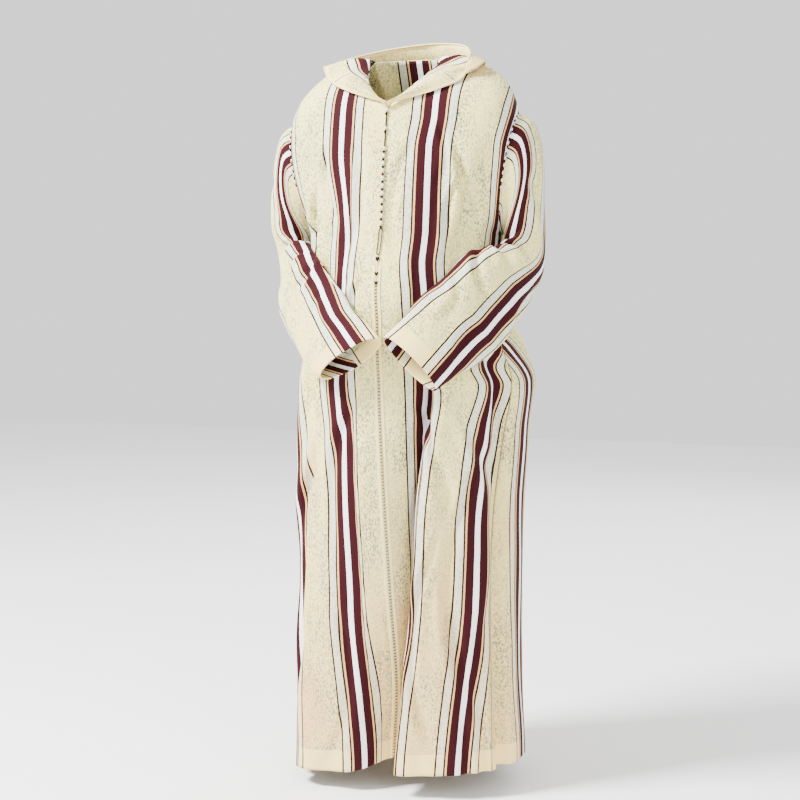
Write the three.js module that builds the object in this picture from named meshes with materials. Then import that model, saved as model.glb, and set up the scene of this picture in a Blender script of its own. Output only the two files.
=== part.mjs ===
// A hooded kaftan (djellaba) held in the shape it has when worn: thin cloth walls, hollow inside.
// Millimetres, +Z up, the front faces -Y. The origin is the middle of the neck base, at the
// height of the points where the shoulder seams meet the neckline. The wearer's left is +X.
import * as THREE from "three";

// ---- driving sizes ----
const HEM_Z = -1382;
const HEM_TILT = 0.055; // the hem hangs a little lower on the -X side
const UNDERARM_Z = -334;
const CLOTH = 1.8; // thickness of a cloth wall
const SEAM_PULL = 0.22; // each piece stops this far short of its seam line
const SLEEVE_PULL = 0.45; // the same for a sleeve, which meets the body at an angle
const TRIM_LIFT = 0.35; // gap under what lies on a panel
const TRIM_THICK = 0.9;
const FACING_LIFT = 0.7; // gap under the facing strips
const BRAID_THICK = 1.1;
const BUTTON_FLAT = 0.75; // a knot button's thickness over its width
const LOOP_SIDES = 14;
const BULGE = 0.5523; // handle length that makes a cubic curve follow a quarter ellipse
const SHOULDER_SLANT = 10; // how far the shoulder row leans in where it meets the armhole
const SHOULDER_LIFT = 15;
const NECK_SIDE = [75, 5, 0]; // where shoulder seam and neckline meet, +X side
const NECK_BACK = [0, 62, 8];
const NECK_V = [-2, -122, -100]; // lowest point of the neck opening
const CHEST_BOW = 3; // how far the centre front bulges between underarm and V
const NECK_BOW = [14, -26]; // how far the edge from the V to the neck side bends out and forward
const BACK_BOW = 34; // how far the back rounds over the shoulder blades
const BACK_BOW_RISE = 0.8; // below 1 the roundest place lies under the middle of the chest rows
const HALF_ROWS = 16; // grid steps across half a front
const NECK_STEPS = 4; // grid steps along half the back neckline
const SKIRT_ROWS = 16;
const CHEST_ROWS = 10;
const V_ROW = 6; // chest row that ends at the point of the V
const SLEEVE_STEPS = 20;
const SLEEVE_ROWS = 15;

// ---- materials ----
const cream = (rough = 0.9) => new THREE.MeshStandardMaterial({ color: 0xe6dcc0, roughness: rough });
const braidCloth = () => new THREE.MeshStandardMaterial({ color: 0xd9c9a0, roughness: 0.8 });
const whiteThread = () => new THREE.MeshStandardMaterial({ color: 0xf0efe8, roughness: 0.7 });
const darkThread = () => new THREE.MeshStandardMaterial({ color: 0x3a2a26, roughness: 0.7 });

// ---- small vector and table helpers ----
const add = (a, b) => a.map((value, i) => value + b[i]);
const sub = (a, b) => a.map((value, i) => value - b[i]);
const scale = (a, k) => a.map((value) => value * k);
const mix = (a, b, t) => a.map((value, i) => value + (b[i] - value) * t);
const dot = (a, b) => a[0] * b[0] + a[1] * b[1] + a[2] * b[2];
const length = (a) => Math.sqrt(dot(a, a));
const unit = (a) => scale(a, 1 / Math.max(length(a), 1e-9));
const cross = (a, b) => [a[1] * b[2] - a[2] * b[1], a[2] * b[0] - a[0] * b[2], a[0] * b[1] - a[1] * b[0]];
const mirror = (p) => [-p[0], p[1], p[2]];
const radians = (degrees) => (degrees * Math.PI) / 180;
const clamp = (x, low, high) => Math.min(high, Math.max(low, x));
const smooth = (x) => clamp(x, 0, 1) ** 2 * (3 - 2 * clamp(x, 0, 1));
const bell = (x) => Math.exp(-x * x);

// A smooth curve through equally spaced rows of numbers, t from 0 to 1.
function through(rows, t) {
  const last = rows.length - 1;
  const place = clamp(t, 0, 1) * last;
  const k = Math.min(Math.floor(place), last - 1);
  const f = place - k;
  const [a, b, c, d] = [rows[Math.max(k - 1, 0)], rows[k], rows[k + 1], rows[Math.min(k + 2, last)]];
  return b.map((value, i) => {
    const slopeB = (c[i] - a[i]) / 2;
    const slopeC = (d[i] - value) / 2;
    const cubic = 2 * value - 2 * c[i] + slopeB + slopeC;
    const square = -3 * value + 3 * c[i] - 2 * slopeB - slopeC;
    return ((cubic * f + square) * f + slopeB) * f + value;
  });
}

// The same, for rows whose first column is a place that falls from row to row.
function atHeight(rows, z) {
  const last = rows.length - 1;
  let k = 0;
  while (k < last - 1 && z < rows[k + 1][0]) k += 1;
  const f = clamp((z - rows[k][0]) / (rows[k + 1][0] - rows[k][0]), 0, 1);
  return through(rows, (k + f) / last);
}

// ---- the body below the underarm ----
// z | half width +X | half width -X | front depth | back depth | squareness power |
// angle of centre front | of +X side seam | of -X side seam (degrees from the front, towards +X)
const SECTIONS = [
  [-334, 188, 193, 166, 138, 1.0, 0, 90, -90],
  [-400, 182, 187, 178, 143, 1.0, -1, 86, -88],
  [-455, 176, 181, 184, 147, 0.98, -1, 82, -86],
  [-505, 184, 187, 187, 151, 0.96, 0, 78, -85],
  [-560, 220, 207, 187, 156, 0.94, 0, 72, -84],
  [-620, 250, 219, 187, 160, 0.9, 0.4, 68, -83],
  [-720, 247, 223, 186, 163, 0.88, 0.7, 65, -82],
  [-850, 239, 224, 184, 166, 0.86, 1.2, 63, -81],
  [-1000, 236, 221, 181, 168, 0.82, 1.9, 61, -80],
  [-1170, 235, 216, 176, 171, 0.77, 2.4, 58, -79],
  [-1382, 241, 214, 173, 176, 0.72, 0.6, 55, -78],
];

// Long folds of the skirt: where each runs (degrees at its top and at the hem), where it starts and
// is full (z), where it has faded again if it does, its half width in degrees, and its depth
// inwards in mm (below zero stands out).
const SKIRT_FOLDS = [
  { top: -8, hem: -34, start: -600, full: -1250, wide: 11, deep: -8 },
  { top: 57, hem: 66, start: -470, full: -620, wide: 6, deep: 22 },
  { top: -48, hem: -58, start: -470, full: -700, wide: 6, deep: 16 },
  { top: -44, hem: -50, start: -820, full: -1382, wide: 20, deep: -22 },
  { top: 108, hem: 104, start: -385, full: -490, end: -720, wide: 18, deep: -20 },
  { top: 30, hem: 38, start: -900, full: -1382, wide: 4, deep: 7 },
  { top: 44, hem: 49, start: -1000, full: -1382, wide: 4, deep: 8 },
  { top: -100, hem: -104, start: -420, full: -1100, wide: 8, deep: 12 },
  { top: 100, hem: 104, start: -420, full: -1100, wide: 8, deep: 14 },
  { top: 128, hem: 124, start: -380, full: -1250, wide: 9, deep: 24 },
  { top: 156, hem: 160, start: -380, full: -1150, wide: 9, deep: 20 },
  { top: 186, hem: 190, start: -380, full: -1300, wide: 9, deep: 26 },
  { top: 214, hem: 216, start: -380, full: -1200, wide: 9, deep: 21 },
  { top: 238, hem: 236, start: -420, full: -1250, wide: 8, deep: 16 },
];

// The deep pleat beside the centre front: height | angle of its ridge | depth behind the ridge |
// width in degrees of the slope that runs down to it from the -X side.
const PLEAT = [
  [-334, 22, 0, 26],
  [-500, 22, 0, 26],
  [-642, 24, 45, 26],
  [-726, 20.5, 49, 25],
  [-804, 17.5, 52, 25],
  [-880, 15, 55, 24],
  [-958, 13.5, 57, 24],
  [-1060, 11.7, 60, 22],
  [-1134, 9.5, 62, 21],
  [-1202, 7, 63, 20],
  [-1292, 4.5, 65, 18],
  [-1382, 3, 66, 17],
];
const PLEAT_FLANK = 2.5; // widest that its steep flank may be, in degrees
const PLEAT_FLANK_SHARE = 0.6; // the flank's most share of the way from the centre to the ridge
const PLEAT_LIP = 6; // how far the ridge stands out
const PLEAT_LIP_WIDE = 4; // degrees
const PLEAT_LIFT = 20; // how far the hem is lifted inside it
const PLEAT_LIFT_TOP = -1240;
const RIDGE_COLUMN = 4; // the grid column of the +X front that follows the ridge
const PLEAT_TOP = -500; // where the columns start to turn towards the ridge
const PLEAT_FULL = -642;

// Creases on the chest, drawn in the X-Z plane: from, to, half width and depth.
const CHEST_CREASES = [
  { from: [-205, -150], to: [-118, -330], wide: 20, deep: 10 },
  { from: [-175, -120], to: [-168, -240], wide: 16, deep: 7 },
  { from: [92, -110], to: [118, -350], wide: 22, deep: 8 },
  { from: [196, -170], to: [150, -330], wide: 18, deep: 9 },
];

function turnDifference(a, b) {
  return ((((a - b + 180) % 360) + 360) % 360) - 180;
}

// The pleat at a height. Its flank stays clear of the centre front.
function pleatAt(z) {
  const [, ridge, deep, wide] = atHeight(PLEAT, z);
  const centre = atHeight(SECTIONS, z)[6];
  return { ridge, deep, wide, flank: Math.min(PLEAT_FLANK, PLEAT_FLANK_SHARE * (ridge - centre)) };
}

// Share of the pleat's depth at an angle: a slope that steepens, then the flank up to the ridge.
function pleatShare(angle, { ridge, wide, flank }) {
  const slope = clamp((angle - ridge + wide) / (wide - flank), 0, 1) ** 2;
  return slope * smooth((ridge - angle) / flank);
}

// How far the cloth moves outwards at an angle and height because of the long folds.
function foldOut(angle, z) {
  let out = 0;
  for (const fold of SKIRT_FOLDS) {
    const down = clamp((fold.start - z) / (fold.start - HEM_Z), 0, 1);
    const centre = fold.top + (fold.hem - fold.top) * down;
    const fading = fold.end === undefined ? 1 : 1 - smooth((fold.full - z) / (fold.full - fold.end));
    const grown = smooth((fold.start - z) / (fold.start - fold.full)) * fading;
    out -= fold.deep * grown * bell(turnDifference(angle, centre) / fold.wide);
  }
  const pleat = pleatAt(z);
  const lip = PLEAT_LIP * bell((turnDifference(angle, pleat.ridge) - PLEAT_LIP_WIDE) / PLEAT_LIP_WIDE);
  const grown = smooth((PLEAT_TOP - z) / (PLEAT_TOP - PLEAT_FULL));
  return out - pleat.deep * pleatShare(angle, pleat) + lip * grown;
}

// A point of the skirt at an angle (degrees from the front towards +X) and height.
function skirtPoint(angle, z) {
  const [, left, right, front, back, square] = atHeight(SECTIONS, z);
  const s = Math.sin(radians(angle));
  const c = Math.cos(radians(angle));
  const halfWidth = s > 0 ? left : right;
  const depth = c > 0 ? front : back;
  const x = halfWidth * Math.sign(s) * Math.abs(s) ** square;
  const y = -depth * Math.sign(c) * Math.abs(c) ** square;
  const out = unit([x / halfWidth ** 2, y / depth ** 2, 0]);
  const down = (UNDERARM_Z - z) / (UNDERARM_Z - HEM_Z);
  const nearHem = smooth((PLEAT_LIFT_TOP - z) / (PLEAT_LIFT_TOP - HEM_Z));
  const lift = PLEAT_LIFT * pleatShare(angle, pleatAt(z)) * nearHem;
  return add([x, y, z + HEM_TILT * x * down * down + lift], scale(out, foldOut(angle, z)));
}

// ---- the armholes and sleeves ----
// Each station is a ring: centre, arm from the centre to the ring's outer point, and to its front.
const SLEEVE_LEFT = [
  [207, -3, -224, 19, -9, 112, 3, -65, 0],
  [221, 0, -234, 32, -5, 106, 2, -66, 2],
  [231, 3, -260, 38, -4, 78, 2, -66, 4],
  [232, 6, -304, 37, -2, 41, 0, -64, 6],
  [234, 8, -350, 36, 0, 8, -4, -64, 12],
  [228, -8, -394, 36, -12, 4, -18, -60, 36],
  [196, -76, -438, 30, -22, 6, -38, -38, 64],
  [168, -126, -484, 26, -24, 10, -46, -33, 64],
  [139, -176, -518, 21, -22, 11, -50, -24, 62],
  [108, -212, -553, 17, -20, 11, -47, -15, 53],
  [81, -235, -580, 14, -17, 10, -47, -11, 49],
];
const SLEEVE_RIGHT = [
  [-213, -2, -227, -19, -9, 109, -3, -65, 0],
  [-229, -1, -237, -34, -5, 100, -2, -66, 2],
  [-239, 0, -270, -41, -3, 63, -2, -66, 4],
  [-244, 3, -308, -43, -1, 32, 0, -64, 6],
  [-246, 4, -348, -42, 0, 8, 6, -64, 14],
  [-226, -18, -394, -40, -12, 4, 26, -60, 38],
  [-190, -84, -440, -30, -24, 6, 54, -44, 50],
  [-153, -126, -483, -24, -26, 8, 66, -38, 46],
  [-113, -170, -522, -16, -24, 10, 69, -34, 42],
  [-70, -210, -552, -12, -20, 12, 68, -20, 43],
  [-36, -235, -573, -10, -18, 14, 63, -11, 38],
];

function sleevePoint(stations, turn, along) {
  const ring = through(stations, along);
  const c = Math.cos(turn);
  const s = Math.sin(turn);
  return [0, 1, 2].map((i) => ring[i] + c * ring[3 + i] + s * ring[6 + i]);
}

// The armhole runs from the underarm (0) over the front, or the back, up to the shoulder point (1).
function armholePoint(stations, up, side) {
  return sleevePoint(stations, side * Math.PI * (1 - up), 0);
}

// ---- panels: grids of points, rows from the top to the hem ----
const skirtHeights = [];
for (let row = 1; row <= SKIRT_ROWS; row += 1) {
  skirtHeights.push(UNDERARM_Z + (HEM_Z - UNDERARM_Z) * (row / SKIRT_ROWS));
}

// A row from the middle out to the side. Near the shoulder (up = 1) it meets the armhole slanting.
function quarterRow(inner, outer, steps, up) {
  const slant = SHOULDER_SLANT * up * up * Math.sign(inner[0] - outer[0]);
  const lift = SHOULDER_LIFT * up * up;
  const handleIn = add(inner, [BULGE * (outer[0] - inner[0]), 0, 0]);
  const rise = [slant, BULGE * (inner[1] - outer[1]), BULGE * (inner[2] - outer[2]) + lift];
  const handleOut = add(outer, rise);
  const points = [];
  for (let i = 0; i <= steps; i += 1) {
    const t = i / steps;
    const a = mix(mix(inner, handleIn, t), mix(handleIn, handleOut, t), t);
    const b = mix(mix(handleIn, handleOut, t), mix(handleOut, outer, t), t);
    points.push(mix(a, b, t));
  }
  return points;
}

const CENTRE_FRONT_TOP = skirtPoint(atHeight(SECTIONS, UNDERARM_Z)[6], UNDERARM_Z);

// The inner edge of a front above the underarm, from there (0) to the neck side (1).
function frontEdge(up, side) {
  const toV = V_ROW / CHEST_ROWS;
  if (up <= toV) {
    const bow = CHEST_BOW * Math.sin((Math.PI * up) / toV);
    return add(mix(CENTRE_FRONT_TOP, NECK_V, up / toV), [0, -bow, 0]);
  }
  const t = (up - toV) / (1 - toV);
  const neck = side > 0 ? NECK_SIDE : mirror(NECK_SIDE);
  const bow = Math.sin(Math.PI * t);
  return add(mix(NECK_V, neck, t), [side * NECK_BOW[0] * bow, NECK_BOW[1] * bow, 0]);
}

// A swell that is 0 at 0 and 1, but not quite at the ends of a crease or of the chest rows.
const CREASE_ENDS = [0.08, 0.92];
const CHEST_ENDS = [0.15, 0.9];
const swell = (share, ends) => Math.sin(Math.PI * clamp(share, ...ends));

function creaseIn(point) {
  let inwards = 0;
  for (const crease of CHEST_CREASES) {
    const run = [crease.to[0] - crease.from[0], crease.to[1] - crease.from[1]];
    const from = [point[0] - crease.from[0], point[2] - crease.from[1]];
    const t = clamp((run[0] * from[0] + run[1] * from[1]) / (run[0] ** 2 + run[1] ** 2), 0, 1);
    const away = Math.hypot(from[0] - run[0] * t, from[1] - run[1] * t);
    inwards += crease.deep * bell(away / crease.wide) * swell(t, CREASE_ENDS);
  }
  return inwards;
}

// The angle of a front's skirt at a share of the way from the centre to the side seam. On the +X
// front one column follows the pleat's ridge and the one before it the foot of its flank.
function frontAngle(side, z, share) {
  const [, , , , , , centre, seamLeft, seamRight] = atHeight(SECTIONS, z);
  if (side < 0) return centre + (seamRight - centre) * share;
  const ridgeShare = RIDGE_COLUMN / HALF_ROWS;
  const footShare = (RIDGE_COLUMN - 1) / HALF_ROWS;
  const pleat = pleatAt(z);
  const turned = smooth((PLEAT_TOP - z) / (PLEAT_TOP - PLEAT_FULL));
  const evenly = (part) => centre + (seamLeft - centre) * part;
  const ridge = evenly(ridgeShare) + (pleat.ridge - evenly(ridgeShare)) * turned;
  const foot = evenly(footShare) + (pleat.ridge - pleat.flank - evenly(footShare)) * turned;
  if (share < footShare) return centre + ((foot - centre) * share) / footShare;
  if (share < ridgeShare) return foot + ((ridge - foot) * (share - footShare)) / (ridgeShare - footShare);
  return ridge + ((seamLeft - ridge) * (share - ridgeShare)) / (1 - ridgeShare);
}

function frontPanel(side) {
  const stations = side > 0 ? SLEEVE_LEFT : SLEEVE_RIGHT;
  const rows = [];
  for (let row = CHEST_ROWS; row >= 0; row -= 1) {
    const up = row / CHEST_ROWS;
    const points = quarterRow(frontEdge(up, side), armholePoint(stations, up, 1), HALF_ROWS, up);
    rows.push(
      points.map((point, i) => {
        const inside = Math.sin((Math.PI * i) / HALF_ROWS);
        return add(point, [0, creaseIn(point) * inside * swell(up, CHEST_ENDS), 0]);
      }),
    );
  }
  for (const z of skirtHeights) {
    const points = [];
    for (let i = 0; i <= HALF_ROWS; i += 1) points.push(skirtPoint(frontAngle(side, z, i / HALF_ROWS), z));
    rows.push(points);
  }
  return rows;
}

function backPanel() {
  const half = HALF_ROWS + NECK_STEPS;
  const rows = [];
  const shoulderRow = (side) => {
    const stations = side > 0 ? SLEEVE_LEFT : SLEEVE_RIGHT;
    const neck = side > 0 ? NECK_SIDE : mirror(NECK_SIDE);
    const points = [];
    for (let i = 0; i < NECK_STEPS; i += 1) {
      const turn = (Math.PI / 2) * (i / NECK_STEPS);
      const lift = NECK_BACK[2] * Math.cos(turn);
      points.push([neck[0] * Math.sin(turn), neck[1] + (NECK_BACK[1] - neck[1]) * Math.cos(turn), lift]);
    }
    return points.concat(quarterRow(neck, armholePoint(stations, 1, -1), HALF_ROWS, 1));
  };
  const backTop = skirtPoint(180, UNDERARM_Z);
  for (let row = CHEST_ROWS; row >= 0; row -= 1) {
    const up = row / CHEST_ROWS;
    const centre = mix(backTop, NECK_BACK, up);
    centre[1] += BACK_BOW * Math.sin(Math.PI * up ** BACK_BOW_RISE);
    const halves = [-1, 1].map((side) => {
      const stations = side > 0 ? SLEEVE_LEFT : SLEEVE_RIGHT;
      const plain = quarterRow(centre, armholePoint(stations, up, -1), half, up);
      const flatTop = quarterRow(NECK_BACK, armholePoint(stations, 1, -1), half, 1);
      const top = shoulderRow(side);
      return plain.map((point, i) => add(point, scale(sub(top[i], flatTop[i]), up ** 3)));
    });
    rows.push(halves[0].slice(1).reverse().concat(halves[1]));
  }
  for (const z of skirtHeights) {
    const [, , , , , , , seamLeft, seamRight] = atHeight(SECTIONS, z);
    const points = [];
    for (let i = -half; i <= half; i += 1) {
      const seam = i < 0 ? 360 + seamRight : seamLeft;
      points.push(skirtPoint(180 + ((seam - 180) * Math.abs(i)) / half, z));
    }
    rows.push(points);
  }
  return rows;
}

// ---- clearance ----
const SKIN_REACH = 22; // how far round a point its nearest cloth is averaged

function gridNormals(grid, outwards) {
  return grid.map((row, j) =>
    row.map((point, i) => {
      const across = sub(row[Math.min(i + 1, row.length - 1)], row[Math.max(i - 1, 0)]);
      const below = grid[Math.min(j + 1, grid.length - 1)][i];
      const above = grid[Math.max(j - 1, 0)][i];
      return scale(unit(cross(across, sub(below, above))), outwards);
    }),
  );
}

// The cloth near a point: its distance along the cloth's own direction, averaged over what is close.
function skinNear(point, shells) {
  let total = 1e-30;
  let distance = 0;
  let direction = [0, 0, 0];
  for (const { points, normals } of shells) {
    for (let k = 0; k < points.length; k += 1) {
      const away = sub(point, points[k]);
      const weight = Math.exp(-dot(away, away) / SKIN_REACH ** 2);
      total += weight;
      distance += weight * dot(away, normals[k]);
      direction = add(direction, scale(normals[k], weight));
    }
  }
  return { distance: distance / total, direction: unit(direction), near: total > 1e-12 };
}

function clearOf(point, shells, gap) {
  const { distance, direction, near } = skinNear(point, shells);
  return near && distance < gap ? add(point, scale(direction, gap - distance)) : point;
}

// Moves a point to a set height over the cloth, by a share from 0 (left alone) to 1.
function laidOn(point, shells, height, share) {
  const { distance, direction } = skinNear(point, shells);
  return add(point, scale(direction, (height - distance) * share));
}

// ---- closed cloth walls ----
const seamNormals = new Map();
const seamKey = (p) => p.map((value) => Math.round(value * 10)).join(",");

function shareNormals(grid, normals) {
  grid.forEach((row, j) =>
    row.forEach((point, i) => {
      const onEdge = i === 0 || j === 0 || i === row.length - 1 || j === grid.length - 1;
      if (!onEdge) return;
      const key = seamKey(point);
      seamNormals.set(key, add(seamNormals.get(key) ?? [0, 0, 0], normals[j][i]));
    }),
  );
}

const SEAM_TURN = 0.55; // cosine of the sharpest turn over which a seam's two cloths share a normal
function seamNormal(point, own) {
  const shared = unit(seamNormals.get(seamKey(point)) ?? own);
  return dot(shared, own) > SEAM_TURN ? shared : own;
}

// Builds a wall from a grid of outer points. With ring set, each row closes on itself.
function wall(grid, normals, { ring = false, thick = CLOTH, pull = SEAM_PULL } = {}) {
  const rows = grid.length;
  const columns = grid[0].length;
  const outer = grid.map((row, j) =>
    row.map((point, i) => {
      let moved = point;
      if (!ring && i === 0) moved = add(moved, scale(unit(sub(row[1], point)), pull));
      if (!ring && i === columns - 1) moved = add(moved, scale(unit(sub(row[columns - 2], point)), pull));
      if (j === 0) moved = add(moved, scale(unit(sub(grid[1][i], point)), pull));
      if (j === rows - 1) moved = add(moved, scale(unit(sub(grid[rows - 2][i], point)), pull));
      return moved;
    }),
  );
  const inwards = (point, j, i) => sub(point, scale(seamNormal(grid[j][i], normals[j][i]), thick));
  const inner = outer.map((row, j) => row.map((point, i) => inwards(point, j, i)));
  const positions = outer.flat(2).concat(inner.flat(2));
  const at = (layer, j, i) => layer * rows * columns + j * columns + (i % columns);
  const faces = [];
  const quad = (a, b, c, d) => faces.push(a, b, c, a, c, d);
  const spans = ring ? columns : columns - 1;
  for (let j = 0; j < rows - 1; j += 1) {
    for (let i = 0; i < spans; i += 1) {
      quad(at(0, j, i), at(0, j, i + 1), at(0, j + 1, i + 1), at(0, j + 1, i));
      quad(at(1, j, i), at(1, j + 1, i), at(1, j + 1, i + 1), at(1, j, i + 1));
    }
  }
  for (let i = 0; i < spans; i += 1) {
    quad(at(0, 0, i), at(1, 0, i), at(1, 0, i + 1), at(0, 0, i + 1));
    quad(at(0, rows - 1, i), at(0, rows - 1, i + 1), at(1, rows - 1, i + 1), at(1, rows - 1, i));
  }
  for (let j = 0; j < rows - 1 && !ring; j += 1) {
    quad(at(0, j, 0), at(0, j + 1, 0), at(1, j + 1, 0), at(1, j, 0));
    quad(at(0, j, columns - 1), at(1, j, columns - 1), at(1, j + 1, columns - 1), at(0, j + 1, columns - 1));
  }
  return closedGeometry(positions, faces);
}

// Turns points and faces into a geometry whose faces point out.
function closedGeometry(positions, faces) {
  let volume = 0;
  const p = (k) => positions.slice(3 * k, 3 * k + 3);
  for (let k = 0; k < faces.length; k += 3) {
    volume += dot(p(faces[k]), cross(p(faces[k + 1]), p(faces[k + 2])));
  }
  const turned = [];
  for (let k = 0; k < faces.length; k += 3) {
    const [second, third] = volume < 0 ? [k + 2, k + 1] : [k + 1, k + 2];
    turned.push(faces[k], faces[second], faces[third]);
  }
  const geometry = new THREE.BufferGeometry();
  geometry.setAttribute("position", new THREE.Float32BufferAttribute(positions, 3));
  geometry.setIndex(turned);
  geometry.computeVertexNormals();
  return geometry;
}

// ---- the hood ----
const HOOD_STEPS = 52;
const HOOD_ROWS = 9;
const HOOD_DROP = 250; // how far the hood's peak hangs below the neck
const HOOD_FULL = 58; // how far the bag's outer layer stands off its inner one
const ROLL_PLACE = 0.75; // where round the opening the hood rolls out over the +X shoulder
const ROLL_SPAN = 0.065;
const ROLL_WAY = [0.97, -0.1, -0.2];
const ROLL_WIDE = 46; // how far that roll reaches past the rim
const HOOD_GAP = 5; // height of the hood's inner face over the body where it lies on it
const HOOD_SEAT = 3; // the same at the neckline, where the hood is sewn on
const HOOD_RIDGE = 5; // extra clearance where the hood crosses the shoulder seams
const HOOD_PUFF = 10; // how far the hood's roll stands up between neckline and rim
const HANG_SPAN = 0.19; // share of the rim, each way from the back, over which the hood hangs
const HANG_FALL = 1.3;
const HANG_OUT = 20; // how far the hanging part leans away from the back
const BAG_NARROW = 0.3; // how much narrower it gets towards its peak
const BAG_PEAK = [0.9, 0.85]; // powers that shape the bag from neckline to rim
const FULL_FROM = [0.35, 0.35]; // share from neckline to rim where the outer layer leaves, and over what
const REST_EDGE = [0.32, 0.12]; // distance from the back where the hood starts to lie on the body
const ROLL_FREE = [0.4, 0.25]; // share from neckline to rim where the roll leaves the body
const SEAT_RISE = 0.12; // share over which the hood rises from its seam to its gap
const ROUNDING = 1.2;
const RIDGE_PLACE = [0.25, 0.06]; // the shoulder seams' distance from the back, and their width
const RIDGE_RISE = 0.2;
const SEWN = 0.02; // share from neckline to rim that is the seam itself
// Rim of the hood, from the V over the -X shoulder and behind the neck to the +X side and back.
const HOOD_RIM = [
  [-3, -127, -91],
  [-52, -118, -76],
  [-104, -98, -58],
  [-148, -62, -32],
  [-166, -14, -11],
  [-148, 34, 10],
  [-112, 75, 26],
  [-62, 105, 39],
  [0, 118, 46],
  [42, 108, 44],
  [86, 70, 35],
  [118, 14, 16],
  [131, -38, -13],
  [132, -74, -42],
  [104, -98, -62],
  [58, -114, -79],
  [6, -126, -91],
];

// Neckline, from the V over the -X side (0.25), the back (0.5) and the +X side (0.75).
function neckline(s) {
  const side = s < 0.5 ? -1 : 1;
  const t = side < 0 ? s : 1 - s;
  const front = V_ROW / CHEST_ROWS;
  if (t < 0.25) return frontEdge(front + (1 - front) * (t / 0.25), side);
  const turn = (Math.PI / 2) * ((0.5 - t) / 0.25);
  const neck = [side * NECK_SIDE[0], NECK_SIDE[1], NECK_SIDE[2]];
  const y = neck[1] + (NECK_BACK[1] - neck[1]) * Math.cos(turn);
  return [neck[0] * Math.sin(turn), y, NECK_BACK[2] * Math.cos(turn)];
}

function hoodPoint(s, t, shells) {
  const fromBack = Math.abs(s - 0.5);
  const arch = Math.sin(Math.PI * t);
  const hang = bell(fromBack / HANG_SPAN) ** HANG_FALL;
  const bag = Math.sin(Math.PI * t ** BAG_PEAK[0]) ** BAG_PEAK[1];
  const roll = bell((s - ROLL_PLACE) / ROLL_SPAN);
  const straight = mix(neckline(s), through(HOOD_RIM, s), t);
  const sag = [0, HANG_OUT * bag * hang, -HOOD_DROP * hang * bag];
  const point = add(add(straight, sag), scale(ROLL_WAY, ROLL_WIDE * roll * arch ** ROUNDING));
  point[0] *= 1 - BAG_NARROW * hang * bag;
  point[1] += hang * HOOD_FULL * smooth((t - FULL_FROM[0]) / FULL_FROM[1]) * Math.sqrt(arch);
  const onBody = 1 - smooth((REST_EDGE[0] - fromBack) / REST_EDGE[1]);
  const resting = onBody * (1 - roll * smooth((t - ROLL_FREE[0]) / ROLL_FREE[1]));
  const seat = HOOD_SEAT + (HOOD_GAP - HOOD_SEAT) * smooth(t / SEAT_RISE);
  const laid = laidOn(point, shells, seat + HOOD_PUFF * arch ** ROUNDING, resting);
  const ridge = HOOD_RIDGE * bell((fromBack - RIDGE_PLACE[0]) / RIDGE_PLACE[1]) * smooth(t / RIDGE_RISE);
  return clearOf(laid, shells, (t < SEWN ? HOOD_SEAT : HOOD_GAP) + ridge);
}

// ---- assemble ----
const garment = new THREE.Group();
function addPiece(name, geometry, material) {
  const mesh = new THREE.Mesh(geometry, material);
  mesh.name = name;
  garment.add(mesh);
}

const frontLeft = frontPanel(1);
const frontRight = frontPanel(-1);
const back = backPanel();
const frontLeftNormals = gridNormals(frontLeft, -1);
const frontRightNormals = gridNormals(frontRight, 1);
const backNormals = gridNormals(back, 1);
const bodyShells = [
  [frontLeft, frontLeftNormals],
  [frontRight, frontRightNormals],
  [back, backNormals],
].map(([grid, normals]) => ({ points: grid.flat(), normals: normals.flat() }));

const SLEEVE_GAP = 8; // clearance between a sleeve and the body
const SLEEVE_SEWN_ROWS = 1; // rows at the armhole that keep their place
const SLEEVE_GAP_ROWS = 3; // rows over which the clearance grows
function sleeveGrid(stations, side) {
  const rows = [];
  for (let j = 0; j <= SLEEVE_ROWS; j += 1) {
    const along = j / SLEEVE_ROWS;
    const points = [];
    for (let i = 0; i < SLEEVE_STEPS; i += 1) {
      const turn = side * Math.PI * 2 * (i / SLEEVE_STEPS);
      const point = sleevePoint(stations, turn, along);
      const gap = SLEEVE_GAP * smooth((j - SLEEVE_SEWN_ROWS) / SLEEVE_GAP_ROWS);
      points.push(j > SLEEVE_SEWN_ROWS ? clearOf(point, bodyShells, gap) : point);
    }
    rows.push(points);
  }
  return rows;
}

function ringNormals(grid, outwards) {
  const columns = grid[0].length;
  return grid.map((row, j) =>
    row.map((point, i) => {
      const across = sub(row[(i + 1) % columns], row[(i + columns - 1) % columns]);
      const below = grid[Math.min(j + 1, grid.length - 1)][i];
      const above = grid[Math.max(j - 1, 0)][i];
      return scale(unit(cross(across, sub(below, above))), outwards);
    }),
  );
}

const sleeveLeft = sleeveGrid(SLEEVE_LEFT, 1);
const sleeveRight = sleeveGrid(SLEEVE_RIGHT, -1);
const sleeveLeftNormals = ringNormals(sleeveLeft, 1);
const sleeveRightNormals = ringNormals(sleeveRight, 1);

shareNormals(frontLeft, frontLeftNormals);
shareNormals(frontRight, frontRightNormals);
shareNormals(back, backNormals);
shareNormals([sleeveLeft[0]], [sleeveLeftNormals[0]]);
shareNormals([sleeveRight[0]], [sleeveRightNormals[0]]);

addPiece("front_left", wall(frontLeft, frontLeftNormals), cream());
addPiece("front_right", wall(frontRight, frontRightNormals), cream());
addPiece("back", wall(back, backNormals), cream());
addPiece("sleeve_left", wall(sleeveLeft, sleeveLeftNormals, { ring: true, pull: SLEEVE_PULL }), cream());
addPiece("sleeve_right", wall(sleeveRight, sleeveRightNormals, { ring: true, pull: SLEEVE_PULL }), cream());

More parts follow.
